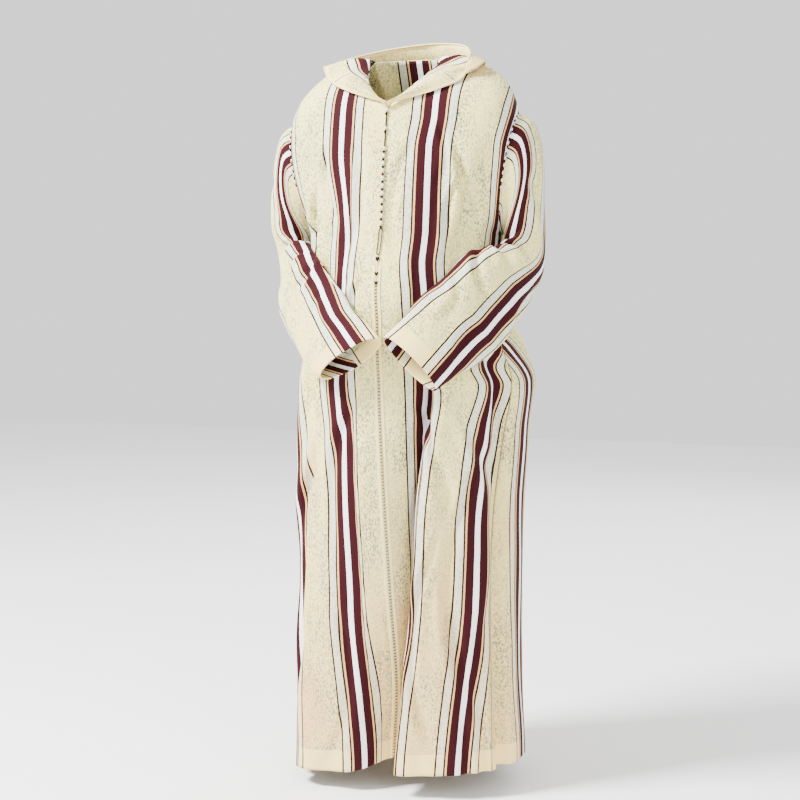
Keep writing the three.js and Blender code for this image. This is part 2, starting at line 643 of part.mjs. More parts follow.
const hoodRows = [];
for (let j = 0; j <= HOOD_ROWS; j += 1) {
  const points = [];
  for (let i = 0; i <= HOOD_STEPS; i += 1) {
    points.push(hoodPoint(i / HOOD_STEPS, j / HOOD_ROWS, bodyShells));
  }
  hoodRows.push(points);
}
const hoodNormals = gridNormals(hoodRows, 1);
addPiece("hood", wall(hoodRows, hoodNormals), cream());

// ---- trims on the centre front ----
const FACING_WIDE = 9;
const FACING_TOP = -400;
const BRAID_WIDE = 3.4;
const BRAID_START = 0.12; // share of a row step left bare below the V
const BUTTON_RADIUS = 3.5;
const BUTTON_PITCH = 14.1;
const BUTTON_RUN_TOP = -180; // height of the first button of the close-set run
const BUTTON_TOPS = [-108, -142]; // heights of the two single buttons above it
const BUTTON_RUN = 11;
const DARK_KNOT = 0.8; // a dark knot's size over a button's
const LOOP_Z = -355; // middle of the long loop
const LOOP_HALF = [4, 25]; // half its width and height
const LOOP_CORD = 1.4;
const KNOTS_BELOW = [32, 60, 77]; // how far under the loop's middle the heart and the arrows are

// The centre front as the panel rows below the V give it: point and outward normal.
function centreRows() {
  const rows = [];
  for (let j = CHEST_ROWS - V_ROW; j < frontLeft.length; j += 1) {
    const normal = unit(add(frontLeftNormals[j][0], frontRightNormals[j][0]));
    rows.push({ point: frontLeft[j][0], normal });
  }
  return rows;
}

function centreAt(z) {
  const rows = centreRows();
  let k = 0;
  while (k < rows.length - 2 && rows[k + 1].point[2] > z) k += 1;
  const f = (z - rows[k].point[2]) / (rows[k + 1].point[2] - rows[k].point[2]);
  const [a, b] = [rows[k], rows[k + 1]];
  const up = unit(sub(a.point, b.point));
  const normal = unit(mix(a.normal, b.normal, f));
  return { point: mix(a.point, b.point, f), normal, up, side: unit(cross(up, normal)) };
}

// A place in the grid's first column of cells, on the flat triangles that the wall is made of:
// across from the centre (0 to 1) and down from row j (0 to 1).
function onCell(grid, j, across, down) {
  const [a, b] = [grid[j][0], grid[j][1]];
  const below = Math.min(j + 1, grid.length - 1);
  const [c, d] = [grid[below][1], grid[below][0]];
  if (across >= down) return add(a, add(scale(sub(b, a), across), scale(sub(c, b), down)));
  return add(a, add(scale(sub(c, d), across), scale(sub(d, a), down)));
}

// Rows of a strip that turn where the flat triangles under it do.
function stripRows(firstRow, lastRow, shares, start = 0) {
  const places = [];
  for (let j = firstRow; j < lastRow; j += 1) places.push([j, 0], ...shares.map((share) => [j, share]));
  places.push([lastRow, 0]);
  places[0] = [firstRow, start];
  return places;
}

// A strip laid on one front beside the centre, made from the panel's points moved out. It ends
// where the pleat leaves no room for it.
function facing(grid, normals) {
  const firstRow = grid.findIndex((row) => row[0][2] < FACING_TOP);
  const cells = grid.map((row) => length(sub(row[1], row[0])));
  let lastRow = firstRow;
  while (lastRow < grid.length - 1 && cells[lastRow + 1] > FACING_WIDE + FACING_LIFT) lastRow += 1;
  const cell = Math.min(...cells.slice(firstRow, lastRow + 1));
  const shares = [(BRAID_WIDE / 2 + FACING_LIFT) / cell, FACING_WIDE / cell];
  const points = [];
  const directions = [];
  for (const [j, down] of stripRows(firstRow, lastRow, shares)) {
    const normal = unit(mix(normals[j][0], normals[Math.min(j + 1, grid.length - 1)][0], down));
    const lift = scale(normal, FACING_LIFT + TRIM_THICK);
    points.push(shares.map((share) => add(onCell(grid, j, share, down), lift)));
    directions.push([normal, normal]);
  }
  return wall(points, directions, { thick: TRIM_THICK, pull: 0 });
}

// The braid that covers the seam between the fronts.
function centreBraid() {
  const firstRow = CHEST_ROWS - V_ROW;
  const points = [];
  const directions = [];
  for (const [j, down] of stripRows(firstRow, frontLeft.length - 1, [0.5], BRAID_START)) {
    const below = Math.min(j + 1, frontLeft.length - 1);
    const normalAt = (row) => unit(add(frontLeftNormals[row][0], frontRightNormals[row][0]));
    const normal = unit(mix(normalAt(j), normalAt(below), down));
    const lift = scale(normal, FACING_LIFT + BRAID_THICK);
    const share = (grid) => BRAID_WIDE / 2 / length(sub(grid[j][1], grid[j][0]));
    const row = [
      onCell(frontRight, j, share(frontRight), down),
      onCell(frontLeft, j, 0, down),
      onCell(frontLeft, j, share(frontLeft), down),
    ];
    points.push(row.map((point) => add(point, lift)));
    directions.push([normal, normal, normal]);
  }
  return wall(points, directions, { thick: BRAID_THICK, pull: 0 });
}

// Sets a small piece, modelled with +Z out of the cloth and +Y up the front, on the centre front.
function setOnCentre(name, geometry, z, lift, material) {
  const { point, normal, up, side } = centreAt(z);
  const place = add(point, scale(normal, lift));
  const matrix = new THREE.Matrix4();
  matrix.makeBasis(new THREE.Vector3(...side), new THREE.Vector3(...up), new THREE.Vector3(...normal));
  matrix.setPosition(...place);
  geometry.applyMatrix4(matrix);
  addPiece(name, geometry, material);
}

function flatPiece(outline, hole) {
  const shape = new THREE.Shape(outline.map(([x, y]) => new THREE.Vector2(x, y)));
  if (hole) shape.holes.push(new THREE.Path(hole.map(([x, y]) => new THREE.Vector2(x, y))));
  return new THREE.ExtrudeGeometry(shape, { depth: TRIM_THICK, bevelEnabled: false });
}

function longRound(halfWide, halfTall) {
  const points = [];
  for (let k = 0; k < LOOP_SIDES; k += 1) {
    const turn = (2 * Math.PI * k) / LOOP_SIDES;
    const end = Math.sign(Math.sin(turn)) * (halfTall - halfWide);
    const straight = Math.abs(Math.sin(turn)) > 0.1 ? end : 0;
    points.push([halfWide * Math.cos(turn), halfWide * Math.sin(turn) + straight]);
  }
  return points;
}

addPiece("facing_left", facing(frontLeft, frontLeftNormals), braidCloth());
addPiece("facing_right", facing(frontRight, frontRightNormals), braidCloth());
addPiece("centre_braid", centreBraid(), braidCloth());

const buttonHeights = [...BUTTON_TOPS];
for (let k = 0; k < BUTTON_RUN; k += 1) buttonHeights.push(BUTTON_RUN_TOP - BUTTON_PITCH * k);
const buttonSeat = FACING_LIFT + BRAID_THICK + TRIM_LIFT;
buttonHeights.forEach((z, k) => {
  const number = String(k + 1).padStart(2, "0");
  const knob = new THREE.SphereGeometry(BUTTON_RADIUS, 8, 5);
  knob.scale(1, 1, BUTTON_FLAT);
  setOnCentre(`button_${number}`, knob, z, buttonSeat + BUTTON_RADIUS * BUTTON_FLAT, whiteThread());
  const loop = new THREE.SphereGeometry(BUTTON_RADIUS * DARK_KNOT, 6, 4);
  loop.scale(1, 1, BUTTON_FLAT);
  const below = z - BUTTON_PITCH / 2;
  const loopLift = buttonSeat + BUTTON_RADIUS * DARK_KNOT * BUTTON_FLAT;
  setOnCentre(`button_loop_${number}`, loop, below, loopLift, darkThread());
});

const loopHole = LOOP_HALF.map((half) => half - LOOP_CORD);
const loopShape = flatPiece(longRound(...LOOP_HALF), longRound(...loopHole));
setOnCentre("braid_loop", loopShape, LOOP_Z, buttonSeat, darkThread());
const heart = [[0, -5], [4, 0], [3.6, 3.4], [1.4, 3.6], [0, 2], [-1.4, 3.6], [-3.6, 3.4], [-4, 0]];
const arrow = [[0, -4], [4, 2], [2.6, 3.2], [0, 0], [-2.6, 3.2], [-4, 2]];
[heart, arrow, arrow].forEach((outline, k) => {
  setOnCentre(`arrow_knot_${k + 1}`, flatPiece(outline), LOOP_Z - KNOTS_BELOW[k], buttonSeat, darkThread());
});

export default garment;
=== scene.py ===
import math

import bpy
import numpy as np
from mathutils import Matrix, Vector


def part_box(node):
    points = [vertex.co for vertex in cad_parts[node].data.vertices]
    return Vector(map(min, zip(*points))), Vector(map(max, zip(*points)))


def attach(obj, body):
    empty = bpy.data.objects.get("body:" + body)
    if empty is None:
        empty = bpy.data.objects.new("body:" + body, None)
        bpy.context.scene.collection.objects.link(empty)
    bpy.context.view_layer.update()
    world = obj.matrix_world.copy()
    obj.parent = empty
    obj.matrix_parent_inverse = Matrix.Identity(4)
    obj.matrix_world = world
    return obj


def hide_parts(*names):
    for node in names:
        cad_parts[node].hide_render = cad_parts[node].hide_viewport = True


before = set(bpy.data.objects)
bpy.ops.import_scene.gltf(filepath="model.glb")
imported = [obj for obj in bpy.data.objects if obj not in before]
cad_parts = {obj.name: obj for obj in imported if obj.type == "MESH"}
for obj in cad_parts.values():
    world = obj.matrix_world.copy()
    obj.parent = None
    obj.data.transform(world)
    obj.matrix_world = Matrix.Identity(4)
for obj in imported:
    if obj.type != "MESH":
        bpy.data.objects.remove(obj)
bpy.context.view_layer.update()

MM = 0.001
TAU = 2 * math.pi

# ---- driving sizes, as the solids have them ----
HEM_Z = -1382
HEM_TILT = 0.055
UNDERARM_Z = -334
UNDERARM_BLEND = 65  # the chest's last row turns into the skirt over this drop
BULGE = 0.5523
SHOULDER_SLANT = 10
SHOULDER_LIFT = 15
NECK_SIDE = np.array([75.0, 5.0, 0.0])
NECK_BACK = np.array([0.0, 62.0, 8.0])
NECK_V = np.array([-2.0, -122.0, -100.0])
NECK_BOW = np.array([14.0, -26.0, 0.0])  # how far the neck's front edges bow out and forwards
EDGE_BOW = 3  # and the centre front below them, forwards
BACK_ROUND = 34  # how far the back stands out between the neck and the underarms
V_SHARE = 0.6  # share of the chest's height where the V ends
NECK_SHARE = 0.2  # share of half the back's top row that is neckline
SKIN_REACH = 22
SKIN_BATCH = 600  # points compared with the skin at a time
SLEEVE_GAP = 8
SLEEVE_ROWS = 15
COARSE = {"columns": 16, "chest": 10, "skirt": 16}
FINE = {"columns": 96, "chest": 60, "skirt": 190}
FINE_BACK = {"columns": 72, "chest": 54, "skirt": 170}
SLEEVE_FINE = {"columns": 112, "rows": 150}
HOOD_FINE = {"columns": 208, "rows": 48}
CLOTH = 1.5
SLEEVE_CLOTH = 1.6

# z | half width +X | half width -X | front depth | back depth | squareness power |
# angle of centre front | of +X side seam | of -X side seam
SECTIONS = np.array([
    [-334, 188, 193, 166, 138, 1.0, 0, 90, -90],
    [-400, 182, 187, 178, 143, 1.0, -1, 86, -88],
    [-455, 176, 181, 184, 147, 0.98, -1, 82, -86],
    [-505, 184, 187, 187, 151, 0.96, 0, 78, -85],
    [-560, 220, 207, 187, 156, 0.94, 0, 72, -84],
    [-620, 250, 219, 187, 160, 0.9, 0.4, 68, -83],
    [-720, 247, 223, 186, 163, 0.88, 0.7, 65, -82],
    [-850, 239, 224, 184, 166, 0.86, 1.2, 63, -81],
    [-1000, 236, 221, 181, 168, 0.82, 1.9, 61, -80],
    [-1170, 235, 216, 176, 171, 0.77, 2.4, 58, -79],
    [-1382, 241, 214, 173, 176, 0.72, 0.6, 55, -78],
])

# angle at the top | at the hem | z where it starts | is full | has faded (0: it doesn't) |
# half width (degrees) | depth inwards
SKIRT_FOLDS = [
    (-8, -34, -600, -1250, 0, 11, -8),
    (57, 66, -470, -620, 0, 6, 22),
    (-48, -58, -470, -700, 0, 6, 16),
    (-44, -50, -820, -1382, 0, 20, -22),
    (108, 104, -385, -490, -720, 18, -20),
    (30, 38, -900, -1382, 0, 4, 7),
    (44, 49, -1000, -1382, 0, 4, 8),
    (-100, -104, -420, -1100, 0, 8, 12),
    (100, 104, -420, -1100, 0, 8, 14),
    (128, 124, -380, -1250, 0, 9, 24),
    (156, 160, -380, -1150, 0, 9, 20),
    (186, 190, -380, -1300, 0, 9, 26),
    (214, 216, -380, -1200, 0, 9, 21),
    (238, 236, -420, -1250, 0, 8, 16),
]

# The deep pleat beside the centre front: height | angle of its ridge | depth behind the ridge |
# width in degrees of the slope that runs down to it from the -X side
PLEAT = np.array([
    [-334, 22, 0, 26],
    [-500, 22, 0, 26],
    [-642, 24, 45, 26],
    [-726, 20.5, 49, 25],
    [-804, 17.5, 52, 25],
    [-880, 15, 55, 24],
    [-958, 13.5, 57, 24],
    [-1060, 11.7, 60, 22],
    [-1134, 9.5, 62, 21],
    [-1202, 7, 63, 20],
    [-1292, 4.5, 65, 18],
    [-1382, 3, 66, 17],
])
PLEAT_FLANK = 2.5
PLEAT_FLANK_SHARE = 0.6
PLEAT_LIP = 6
PLEAT_LIP_WIDE = 4
PLEAT_LIFT = 20
PLEAT_LIFT_TOP = -1240
RIDGE_SHARE, FOOT_SHARE = 4 / 16, 3 / 16  # columns that follow the ridge and its foot
PLEAT_TOP = -500
PLEAT_FULL = -642

# x and z where it starts | where it ends | half width | depth inwards
CHEST_CREASES = [
    (-205, -150, -118, -330, 20, 10),
    (-175, -120, -168, -240, 16, 7),
    (92, -110, 118, -350, 22, 8),
    (196, -170, 150, -330, 18, 9),
]

# A ring each: centre, arm to the ring's outer point, arm to its front.
SLEEVE_LEFT = np.array([
    [207, -3, -224, 19, -9, 112, 3, -65, 0],
    [221, 0, -234, 32, -5, 106, 2, -66, 2],
    [231, 3, -260, 38, -4, 78, 2, -66, 4],
    [232, 6, -304, 37, -2, 41, 0, -64, 6],
    [234, 8, -350, 36, 0, 8, -4, -64, 12],
    [228, -8, -394, 36, -12, 4, -18, -60, 36],
    [196, -76, -438, 30, -22, 6, -38, -38, 64],
    [168, -126, -484, 26, -24, 10, -46, -33, 64],
    [139, -176, -518, 21, -22, 11, -50, -24, 62],
    [108, -212, -553, 17, -20, 11, -47, -15, 53],
    [81, -235, -580, 14, -17, 10, -47, -11, 49],
], dtype=float)
SLEEVE_RIGHT = np.array([
    [-213, -2, -227, -19, -9, 109, -3, -65, 0],
    [-229, -1, -237, -34, -5, 100, -2, -66, 2],
    [-239, 0, -270, -41, -3, 63, -2, -66, 4],
    [-244, 3, -308, -43, -1, 32, 0, -64, 6],
    [-246, 4, -348, -42, 0, 8, 6, -64, 14],
    [-226, -18, -394, -40, -12, 4, 26, -60, 38],
    [-190, -84, -440, -30, -24, 6, 54, -44, 50],
    [-153, -126, -483, -24, -26, 8, 66, -38, 46],
    [-113, -170, -522, -16, -24, 10, 69, -34, 42],
    [-70, -210, -552, -12, -20, 12, 68, -20, 43],
    [-36, -235, -573, -10, -18, 14, 63, -11, 38],
], dtype=float)

HOOD_DROP = 250
HOOD_FULL = 58
ROLL_PLACE = 0.75
ROLL_SPAN = 0.065
ROLL_WAY = np.array([0.97, -0.1, -0.2])
ROLL_WIDE = 46
HOOD_GAP = 5
HOOD_SEAT = 3
HOOD_RIDGE = 5
HOOD_PUFF = 10
HOOD_BAG = 0.19  # half width of the hanging bag, as a share of the rim
HOOD_BACK = 20  # how far the bag leans back
HOOD_NARROWED = 0.3  # how much narrower it gets
HOOD_RIM = np.array([
    [-3, -127, -91],
    [-52, -118, -76],
    [-104, -98, -58],
    [-148, -62, -32],
    [-166, -14, -11],
    [-148, 34, 10],
    [-112, 75, 26],
    [-62, 105, 39],
    [0, 118, 46],
    [42, 108, 44],
    [86, 70, 35],
    [118, 14, 16],
    [131, -38, -13],
    [132, -74, -42],
    [104, -98, -62],
    [58, -114, -79],
    [6, -126, -91],
], dtype=float)


# ---- curves and tables ----
def smooth(x):
    x = np.clip(x, 0, 1)
    return x * x * (3 - 2 * x)


def bell(x):
    return np.exp(-np.square(x))


def unit(a):
    return a / np.maximum(np.linalg.norm(a, axis=-1, keepdims=True), 1e-9)


def mix(a, b, t):
    return a + (b - a) * t


def shares(count):
    """Shares from 0 to 1 in equal steps."""
    return np.arange(count + 1) / count


def fallen(z, start, full):
    """0 above one height, 1 below a lower one, and eased between them."""
    return smooth((start - z) / (start - full))


def turn_from(angle, centre):
    """The turn from a centre to an angle, from -180 to 180 degrees."""
    return (angle - centre + 180) % 360 - 180


def through(rows, t):
    """A smooth curve through equally spaced rows, t from 0 to 1."""
    last = len(rows) - 1
    place = np.clip(t, 0, 1) * last
    k = np.minimum(np.floor(place).astype(int), last - 1)
    f = (place - k)[..., None]
    a, b = rows[np.maximum(k - 1, 0)], rows[k]
    c, d = rows[k + 1], rows[np.minimum(k + 2, last)]
    slope_b, slope_c = (c - a) / 2, (d - b) / 2
    cubic = 2 * b - 2 * c + slope_b + slope_c
    square = 3 * c - 3 * b - 2 * slope_b - slope_c
    return ((cubic * f + square) * f + slope_b) * f + b


def at_height(rows, z):
    """The same for rows whose first column is a height that falls from row to row."""
    heights = rows[:, 0]
    last = len(rows) - 1
    k = np.clip(np.searchsorted(-heights, -z, side="left") - 1, 0, last - 1)
    f = np.clip((z - heights[k]) / (heights[k + 1] - heights[k]), 0, 1)
    return through(rows, (k + f) / last)


def read_off(places, known, rows):
    """Rows of x, y and z, known at places that rise, read off at other places."""
    return np.stack([np.interp(places, known, rows[:, k]) for k in range(3)], -1)


# ---- the body ----
def pleat_at(z):
    _, ridge, deep, wide = np.moveaxis(at_height(PLEAT, z), -1, 0)
    centre = at_height(SECTIONS, z)[..., 6]
    return ridge, deep, wide, np.minimum(PLEAT_FLANK, PLEAT_FLANK_SHARE * (ridge - centre))


def pleat_share(angle, z):
    """Share of the pleat's depth at an angle: a slope that steepens, then the flank."""
    ridge, _, wide, flank = pleat_at(z)
    slope = np.clip((angle - ridge + wide) / (wide - flank), 0, 1) ** 2
    return slope * smooth((ridge - angle) / flank)


def pleat_grown(z):
    return fallen(z, PLEAT_TOP, PLEAT_FULL)


def fold_out(angle, z):
    out = 0
    for top, hem, start, full, end, wide, deep in SKIRT_FOLDS:
        down = np.clip((start - z) / (start - HEM_Z), 0, 1)
        fading = 1 - fallen(z, full, end) if end else 1
        grown = fallen(z, start, full) * fading
        out = out - deep * grown * bell(turn_from(angle, mix(top, hem, down)) / wide)
    ridge, deep, _, _ = pleat_at(z)
    lip_turn = turn_from(angle, ridge) - PLEAT_LIP_WIDE
    lip = PLEAT_LIP * bell(lip_turn / PLEAT_LIP_WIDE) * pleat_grown(z)
    return out - deep * pleat_share(angle, z) + lip


def skirt_point(angle, z):
    _, left, right, front, back, square = np.moveaxis(at_height(SECTIONS, z), -1, 0)[:6]
    s, c = np.sin(np.radians(angle)), np.cos(np.radians(angle))
    half_width = np.where(s > 0, left, right)
    depth = np.where(c > 0, front, back)
    x = half_width * np.sign(s) * np.abs(s) ** square
    y = -depth * np.sign(c) * np.abs(c) ** square
    out = unit(np.stack([x / half_width**2, y / depth**2, 0 * x], -1))
    down = (UNDERARM_Z - z) / (UNDERARM_Z - HEM_Z)
    lift = PLEAT_LIFT * pleat_share(angle, z) * fallen(z, PLEAT_LIFT_TOP, HEM_Z)
    point = np.stack([x, y, z + HEM_TILT * x * down * down + lift], -1)
    return point + out * np.asarray(fold_out(angle, z))[..., None]


def sleeve_point(stations, turn, along):
    ring = through(stations, along)
    c, s = np.cos(turn)[..., None], np.sin(turn)[..., None]
    return ring[..., 0:3] + c * ring[..., 3:6] + s * ring[..., 6:9]


def armhole_point(side, up, turned):
    """A point of one side's armhole, by height and on its front (1) or back (-1) half."""
    stations = SLEEVE_LEFT if side > 0 else SLEEVE_RIGHT
    return sleeve_point(stations, turned * math.pi * (1 - up), 0 * up)


def quarter_row(inner, outer, t, up):
    """Rows from the middle out to the armhole: inner, outer and up by row, t across."""
    t = t[None, :, None]
    inner, outer, up = inner[:, None, :], outer[:, None, :], up[:, None]
    across = outer[..., 0] - inner[..., 0]
    slant = SHOULDER_SLANT * up * up * -np.sign(across)
    handle_in = inner + np.stack([BULGE * across, 0 * across, 0 * across], -1)
    rise_y = BULGE * (inner[..., 1] - outer[..., 1])
    rise_z = BULGE * (inner[..., 2] - outer[..., 2]) + SHOULDER_LIFT * up * up
    handle_out = outer + np.stack([slant, rise_y, rise_z], -1)
    middle = mix(handle_in, handle_out, t)
    a = mix(mix(inner, handle_in, t), middle, t)
    b = mix(middle, mix(handle_out, outer, t), t)
    return mix(a, b, t)


def centre_front(z):
    angle = at_height(SECTIONS, z)[..., 6]
    return skirt_point(angle, z)


def front_edge(up, side):
    """The inner edge of a front above the underarm, from there (0) to the neck side (1)."""
    top = centre_front(np.array([float(UNDERARM_Z)]))[0]
    low = np.clip(up / V_SHARE, 0, 1)[..., None]
    below = mix(top, NECK_V, low) - [0, EDGE_BOW, 0] * np.sin(math.pi * low)
    mirror = [side, 1, 1]
    t = np.clip((up - V_SHARE) / (1 - V_SHARE), 0, 1)[..., None]
    above = mix(NECK_V, NECK_SIDE * mirror, t) + NECK_BOW * mirror * np.sin(math.pi * t)
    return np.where(up[..., None] <= V_SHARE, below, above)


def crease_in(point, creases):
    inwards = 0
    for x0, z0, x1, z1, wide, deep in creases:
        run_x, run_z = x1 - x0, z1 - z0
        from_x, from_z = point[..., 0] - x0, point[..., 2] - z0
        t = np.clip((run_x * from_x + run_z * from_z) / (run_x**2 + run_z**2), 0, 1)
        away = np.hypot(from_x - run_x * t, from_z - run_z * t)
        inwards = inwards + deep * bell(away / wide) * np.sin(math.pi * np.clip(t, 0.08, 0.92))
    return inwards


def skirt_rows(angles_at, steps, top_row):
    """Rows below the underarm. The first ones leave from the chest's lowest row."""
    z = UNDERARM_Z + (HEM_Z - UNDERARM_Z) * np.arange(1, steps + 1) / steps
    start = skirt_point(angles_at(np.array([float(UNDERARM_Z)])), np.full((1, 1), float(UNDERARM_Z)))
    carry = top_row - start[0]
    rows = skirt_point(angles_at(z), z[:, None] + 0 * angles_at(z))
    fade = 1 - smooth((UNDERARM_Z - z) / UNDERARM_BLEND)
    return rows + carry[None] * fade[:, None, None]


def front_panel(side, grid):
    up, t = 1 - shares(grid["chest"]), shares(grid["columns"])
    chest = quarter_row(front_edge(up, side), armhole_point(side, up, 1), t, up)
    inside = np.sin(math.pi * t)[None, :] * np.sin(math.pi * np.clip(up, 0.15, 0.9))[:, None]
    chest[..., 1] += crease_in(chest, CHEST_CREASES) * inside

    def angles(z):
        row = at_height(SECTIONS, z)
        centre = row[:, 6:7]
        if side < 0:
            return mix(centre, row[:, 8:9], t[None, :])
        seam = row[:, 7:8]
        pleat_ridge, _, _, flank = (values[:, None] for values in pleat_at(z))
        turned = pleat_grown(z)[:, None]
        ridge = mix(mix(centre, seam, RIDGE_SHARE), pleat_ridge, turned)
        foot = mix(mix(centre, seam, FOOT_SHARE), pleat_ridge - flank, turned)
        low = mix(centre, foot, t[None, :] / FOOT_SHARE)
        steep = mix(foot, ridge, (t[None, :] - FOOT_SHARE) / (RIDGE_SHARE - FOOT_SHARE))
        high = mix(ridge, seam, (t[None, :] - RIDGE_SHARE) / (1 - RIDGE_SHARE))
        return np.where(t < FOOT_SHARE, low, np.where(t < RIDGE_SHARE, steep, high))

    return np.concatenate([chest, skirt_rows(angles, grid["skirt"], chest[-1])])


def neck_behind(side, turn):
    """The neckline behind the neck, by the turn from the middle of the back."""
    return np.stack([
        side * NECK_SIDE[0] * np.sin(turn),
        NECK_SIDE[1] + (NECK_BACK[1] - NECK_SIDE[1]) * np.cos(turn),
        NECK_BACK[2] * np.cos(turn),
    ], -1)


def back_panel(grid):
    up = 1 - shares(grid["chest"])
    t = shares(round(grid["columns"] / (1 - NECK_SHARE)))
    middle = mix(skirt_point(np.array([180.0]), np.array([float(UNDERARM_Z)])), NECK_BACK, up[:, None])
    middle[:, 1] += BACK_ROUND * np.sin(math.pi * up**0.8)
    one = np.ones(1)
    on_neck = t < NECK_SHARE
    on_slope = (t[~on_neck] - NECK_SHARE) / (1 - NECK_SHARE)
    halves = []
    for side in (-1, 1):
        plain = quarter_row(middle, armhole_point(side, up, -1), t, up)
        shoulder = armhole_point(side, one, -1)
        flat_top = quarter_row(NECK_BACK[None], shoulder, t, one)[0]
        round_neck = neck_behind(side, (math.pi / 2) * t[on_neck] / NECK_SHARE)
        slope = quarter_row(NECK_SIDE[None] * [side, 1, 1], shoulder, on_slope, one)[0]
        top = np.concatenate([round_neck, slope])
        halves.append(plain + (top - flat_top)[None] * (up**3)[:, None, None])
    chest = np.concatenate([halves[0][:, :0:-1], halves[1]], 1)

    def angles(z):
        row = at_height(SECTIONS, z)
        share = np.concatenate([-t[:0:-1], t])[None, :]
        seam = np.where(share < 0, 360 + row[:, 8:9], row[:, 7:8])
        return 180 + (seam - 180) * np.abs(share)

    return np.concatenate([chest, skirt_rows(angles, grid["skirt"], chest[-1])])


def normals_of(grid, outwards, ring=False):
    if ring:
        wide = np.concatenate([grid[:, -2:-1], grid, grid[:, 1:2]], 1)
        across = wide[:, 2:] - wide[:, :-2]
    else:
        across = np.gradient(grid, axis=1)
    return unit(np.cross(across, np.gradient(grid, axis=0))) * outwards


# ---- clearance ----
class Skin:
    """The body's coarse cloth, as the solids have it, that hood and sleeves lie on."""

    def __init__(self, shells):
        self.points = np.concatenate([grid.reshape(-1, 3) for grid, _ in shells])
        self.normals = np.concatenate([normals.reshape(-1, 3) for _, normals in shells])

    def near(self, points):
        flat = points.reshape(-1, 3)
        distance, direction, found = [], [], []
        for part in np.array_split(flat, max(1, len(flat) // SKIN_BATCH)):
            away = part[:, None] - self.points[None]
            weight = np.exp(-(away**2).sum(-1) / SKIN_REACH**2)
            total = weight.sum(1) + 1e-30
            out = (away * self.normals[None]).sum(-1)
            distance.append((weight * out).sum(1) / total)
            direction.append(unit(weight @ self.normals))
            found.append(total > 1e-12)
        shape = points.shape[:-1]
        return (
            np.concatenate(distance).reshape(shape),
            np.concatenate(direction).reshape(points.shape),
            np.concatenate(found).reshape(shape),
        )

    def clear(self, points, gap):
        distance, direction, found = self.near(points)
        short = np.where(found, np.maximum(gap - distance, 0), 0)
        return points + direction * short[..., None]

    def laid(self, points, height, share):
        distance, direction, _ = self.near(points)
        return points + direction * ((height - distance) * share)[..., None]


coarse_left, coarse_right = front_panel(1, COARSE), front_panel(-1, COARSE)
coarse_back = back_panel(COARSE)
skin = Skin([
    (coarse_left, normals_of(coarse_left, -1)),
    (coarse_right, normals_of(coarse_right, 1)),
    (coarse_back, normals_of(coarse_back, 1)),
])


# ---- sleeves and hood ----
def sleeve_grid(stations, side):
    turn = side * TAU * (shares(SLEEVE_FINE["columns"])[None, :] - 0.5)
    along, turn = np.broadcast_arrays(shares(SLEEVE_FINE["rows"])[:, None], turn)
    points = sleeve_point(stations, turn, along)
    gap = SLEEVE_GAP * smooth((along * SLEEVE_ROWS - 1) / 3)
    return np.where((gap > 0)[..., None], skin.clear(points, gap), points)


def neckline(s):
    side = np.where(s < 0.5, -1.0, 1.0)
    t = np.where(s < 0.5, s, 1 - s)
    front_up = V_SHARE + (1 - V_SHARE) * np.clip(t / 0.25, 0, 1)
    front = np.where(side[..., None] > 0, front_edge(front_up, 1), front_edge(front_up, -1))
    behind = neck_behind(side, (math.pi / 2) * (0.5 - t) / 0.25)
    return np.where((t < 0.25)[..., None], front, behind)


def hood_grid():
    up, across = shares(HOOD_FINE["rows"]), shares(HOOD_FINE["columns"])
    t, s = np.broadcast_arrays(up[:, None], across[None, :])
    hang = bell((s - 0.5) / HOOD_BAG) ** 1.3
    bag = np.sin(math.pi * t**0.9).clip(0) ** 0.85
    roll = bell((s - ROLL_PLACE) / ROLL_SPAN)
    arch = np.sin(math.pi * t).clip(0)
    point = mix(neckline(s), through(HOOD_RIM, s), t[..., None])
    point += ROLL_WAY * (ROLL_WIDE * roll * arch**1.2)[..., None]
    point[..., 1] += HOOD_BACK * bag * hang
    point[..., 2] -= HOOD_DROP * hang * bag
    point[..., 0] *= 1 - HOOD_NARROWED * hang * bag
    point[..., 1] += hang * HOOD_FULL * smooth((t - 0.35) / 0.35) * arch**0.5
    on_body = 1 - smooth((0.32 - np.abs(s - 0.5)) / 0.12)
    resting = on_body * (1 - roll * smooth((t - 0.4) / 0.25))
    height = HOOD_SEAT + (HOOD_GAP - HOOD_SEAT) * smooth(t / 0.12) + HOOD_PUFF * arch**1.2
    point = skin.laid(point, height, resting)
    ridge = HOOD_RIDGE * bell((np.abs(s - 0.5) - 0.25) / 0.06) * smooth(t / 0.2)
    return skin.clear(point, np.where(t < 0.02, HOOD_SEAT, HOOD_GAP) + ridge)


# ---- cloth coordinates ----
def lengths(grid, axis):
    """Running length of the cloth along an axis of the grid, from its first row or column."""
    steps = np.linalg.norm(np.diff(grid, axis=axis), axis=-1)
    zero = np.zeros_like(np.take(steps, [0], axis))
    return np.concatenate([zero, np.cumsum(steps, axis)], axis)


class Panel:
    """A grid of points with its normals and its cloth coordinates, all in millimetres."""

    def __init__(self, grid, outwards, ring=False):
        self.grid, self.outwards, self.ring = grid, outwards, ring
        self.normals = normals_of(grid, outwards, ring)
        self.across = lengths(grid, 1)
        self.down = lengths(grid, 0)

    def rows_down(self):
        """The mean length down to each row, by row and for every point."""
        length = self.down.mean(1)
        return length, np.broadcast_to(length[:, None], self.down.shape)

    def push(self, amount):
        self.grid = self.grid + self.normals * amount[..., None]
        self.normals = normals_of(self.grid, self.outwards, self.ring)

    def at(self, row, distance, lift):
        """The point on a grid row at a distance along it, lifted off the cloth."""
        along = self.across[row]
        normal = unit(read_off(distance, along, self.normals[row]))
        return read_off(distance, along, self.grid[row]) + normal * lift


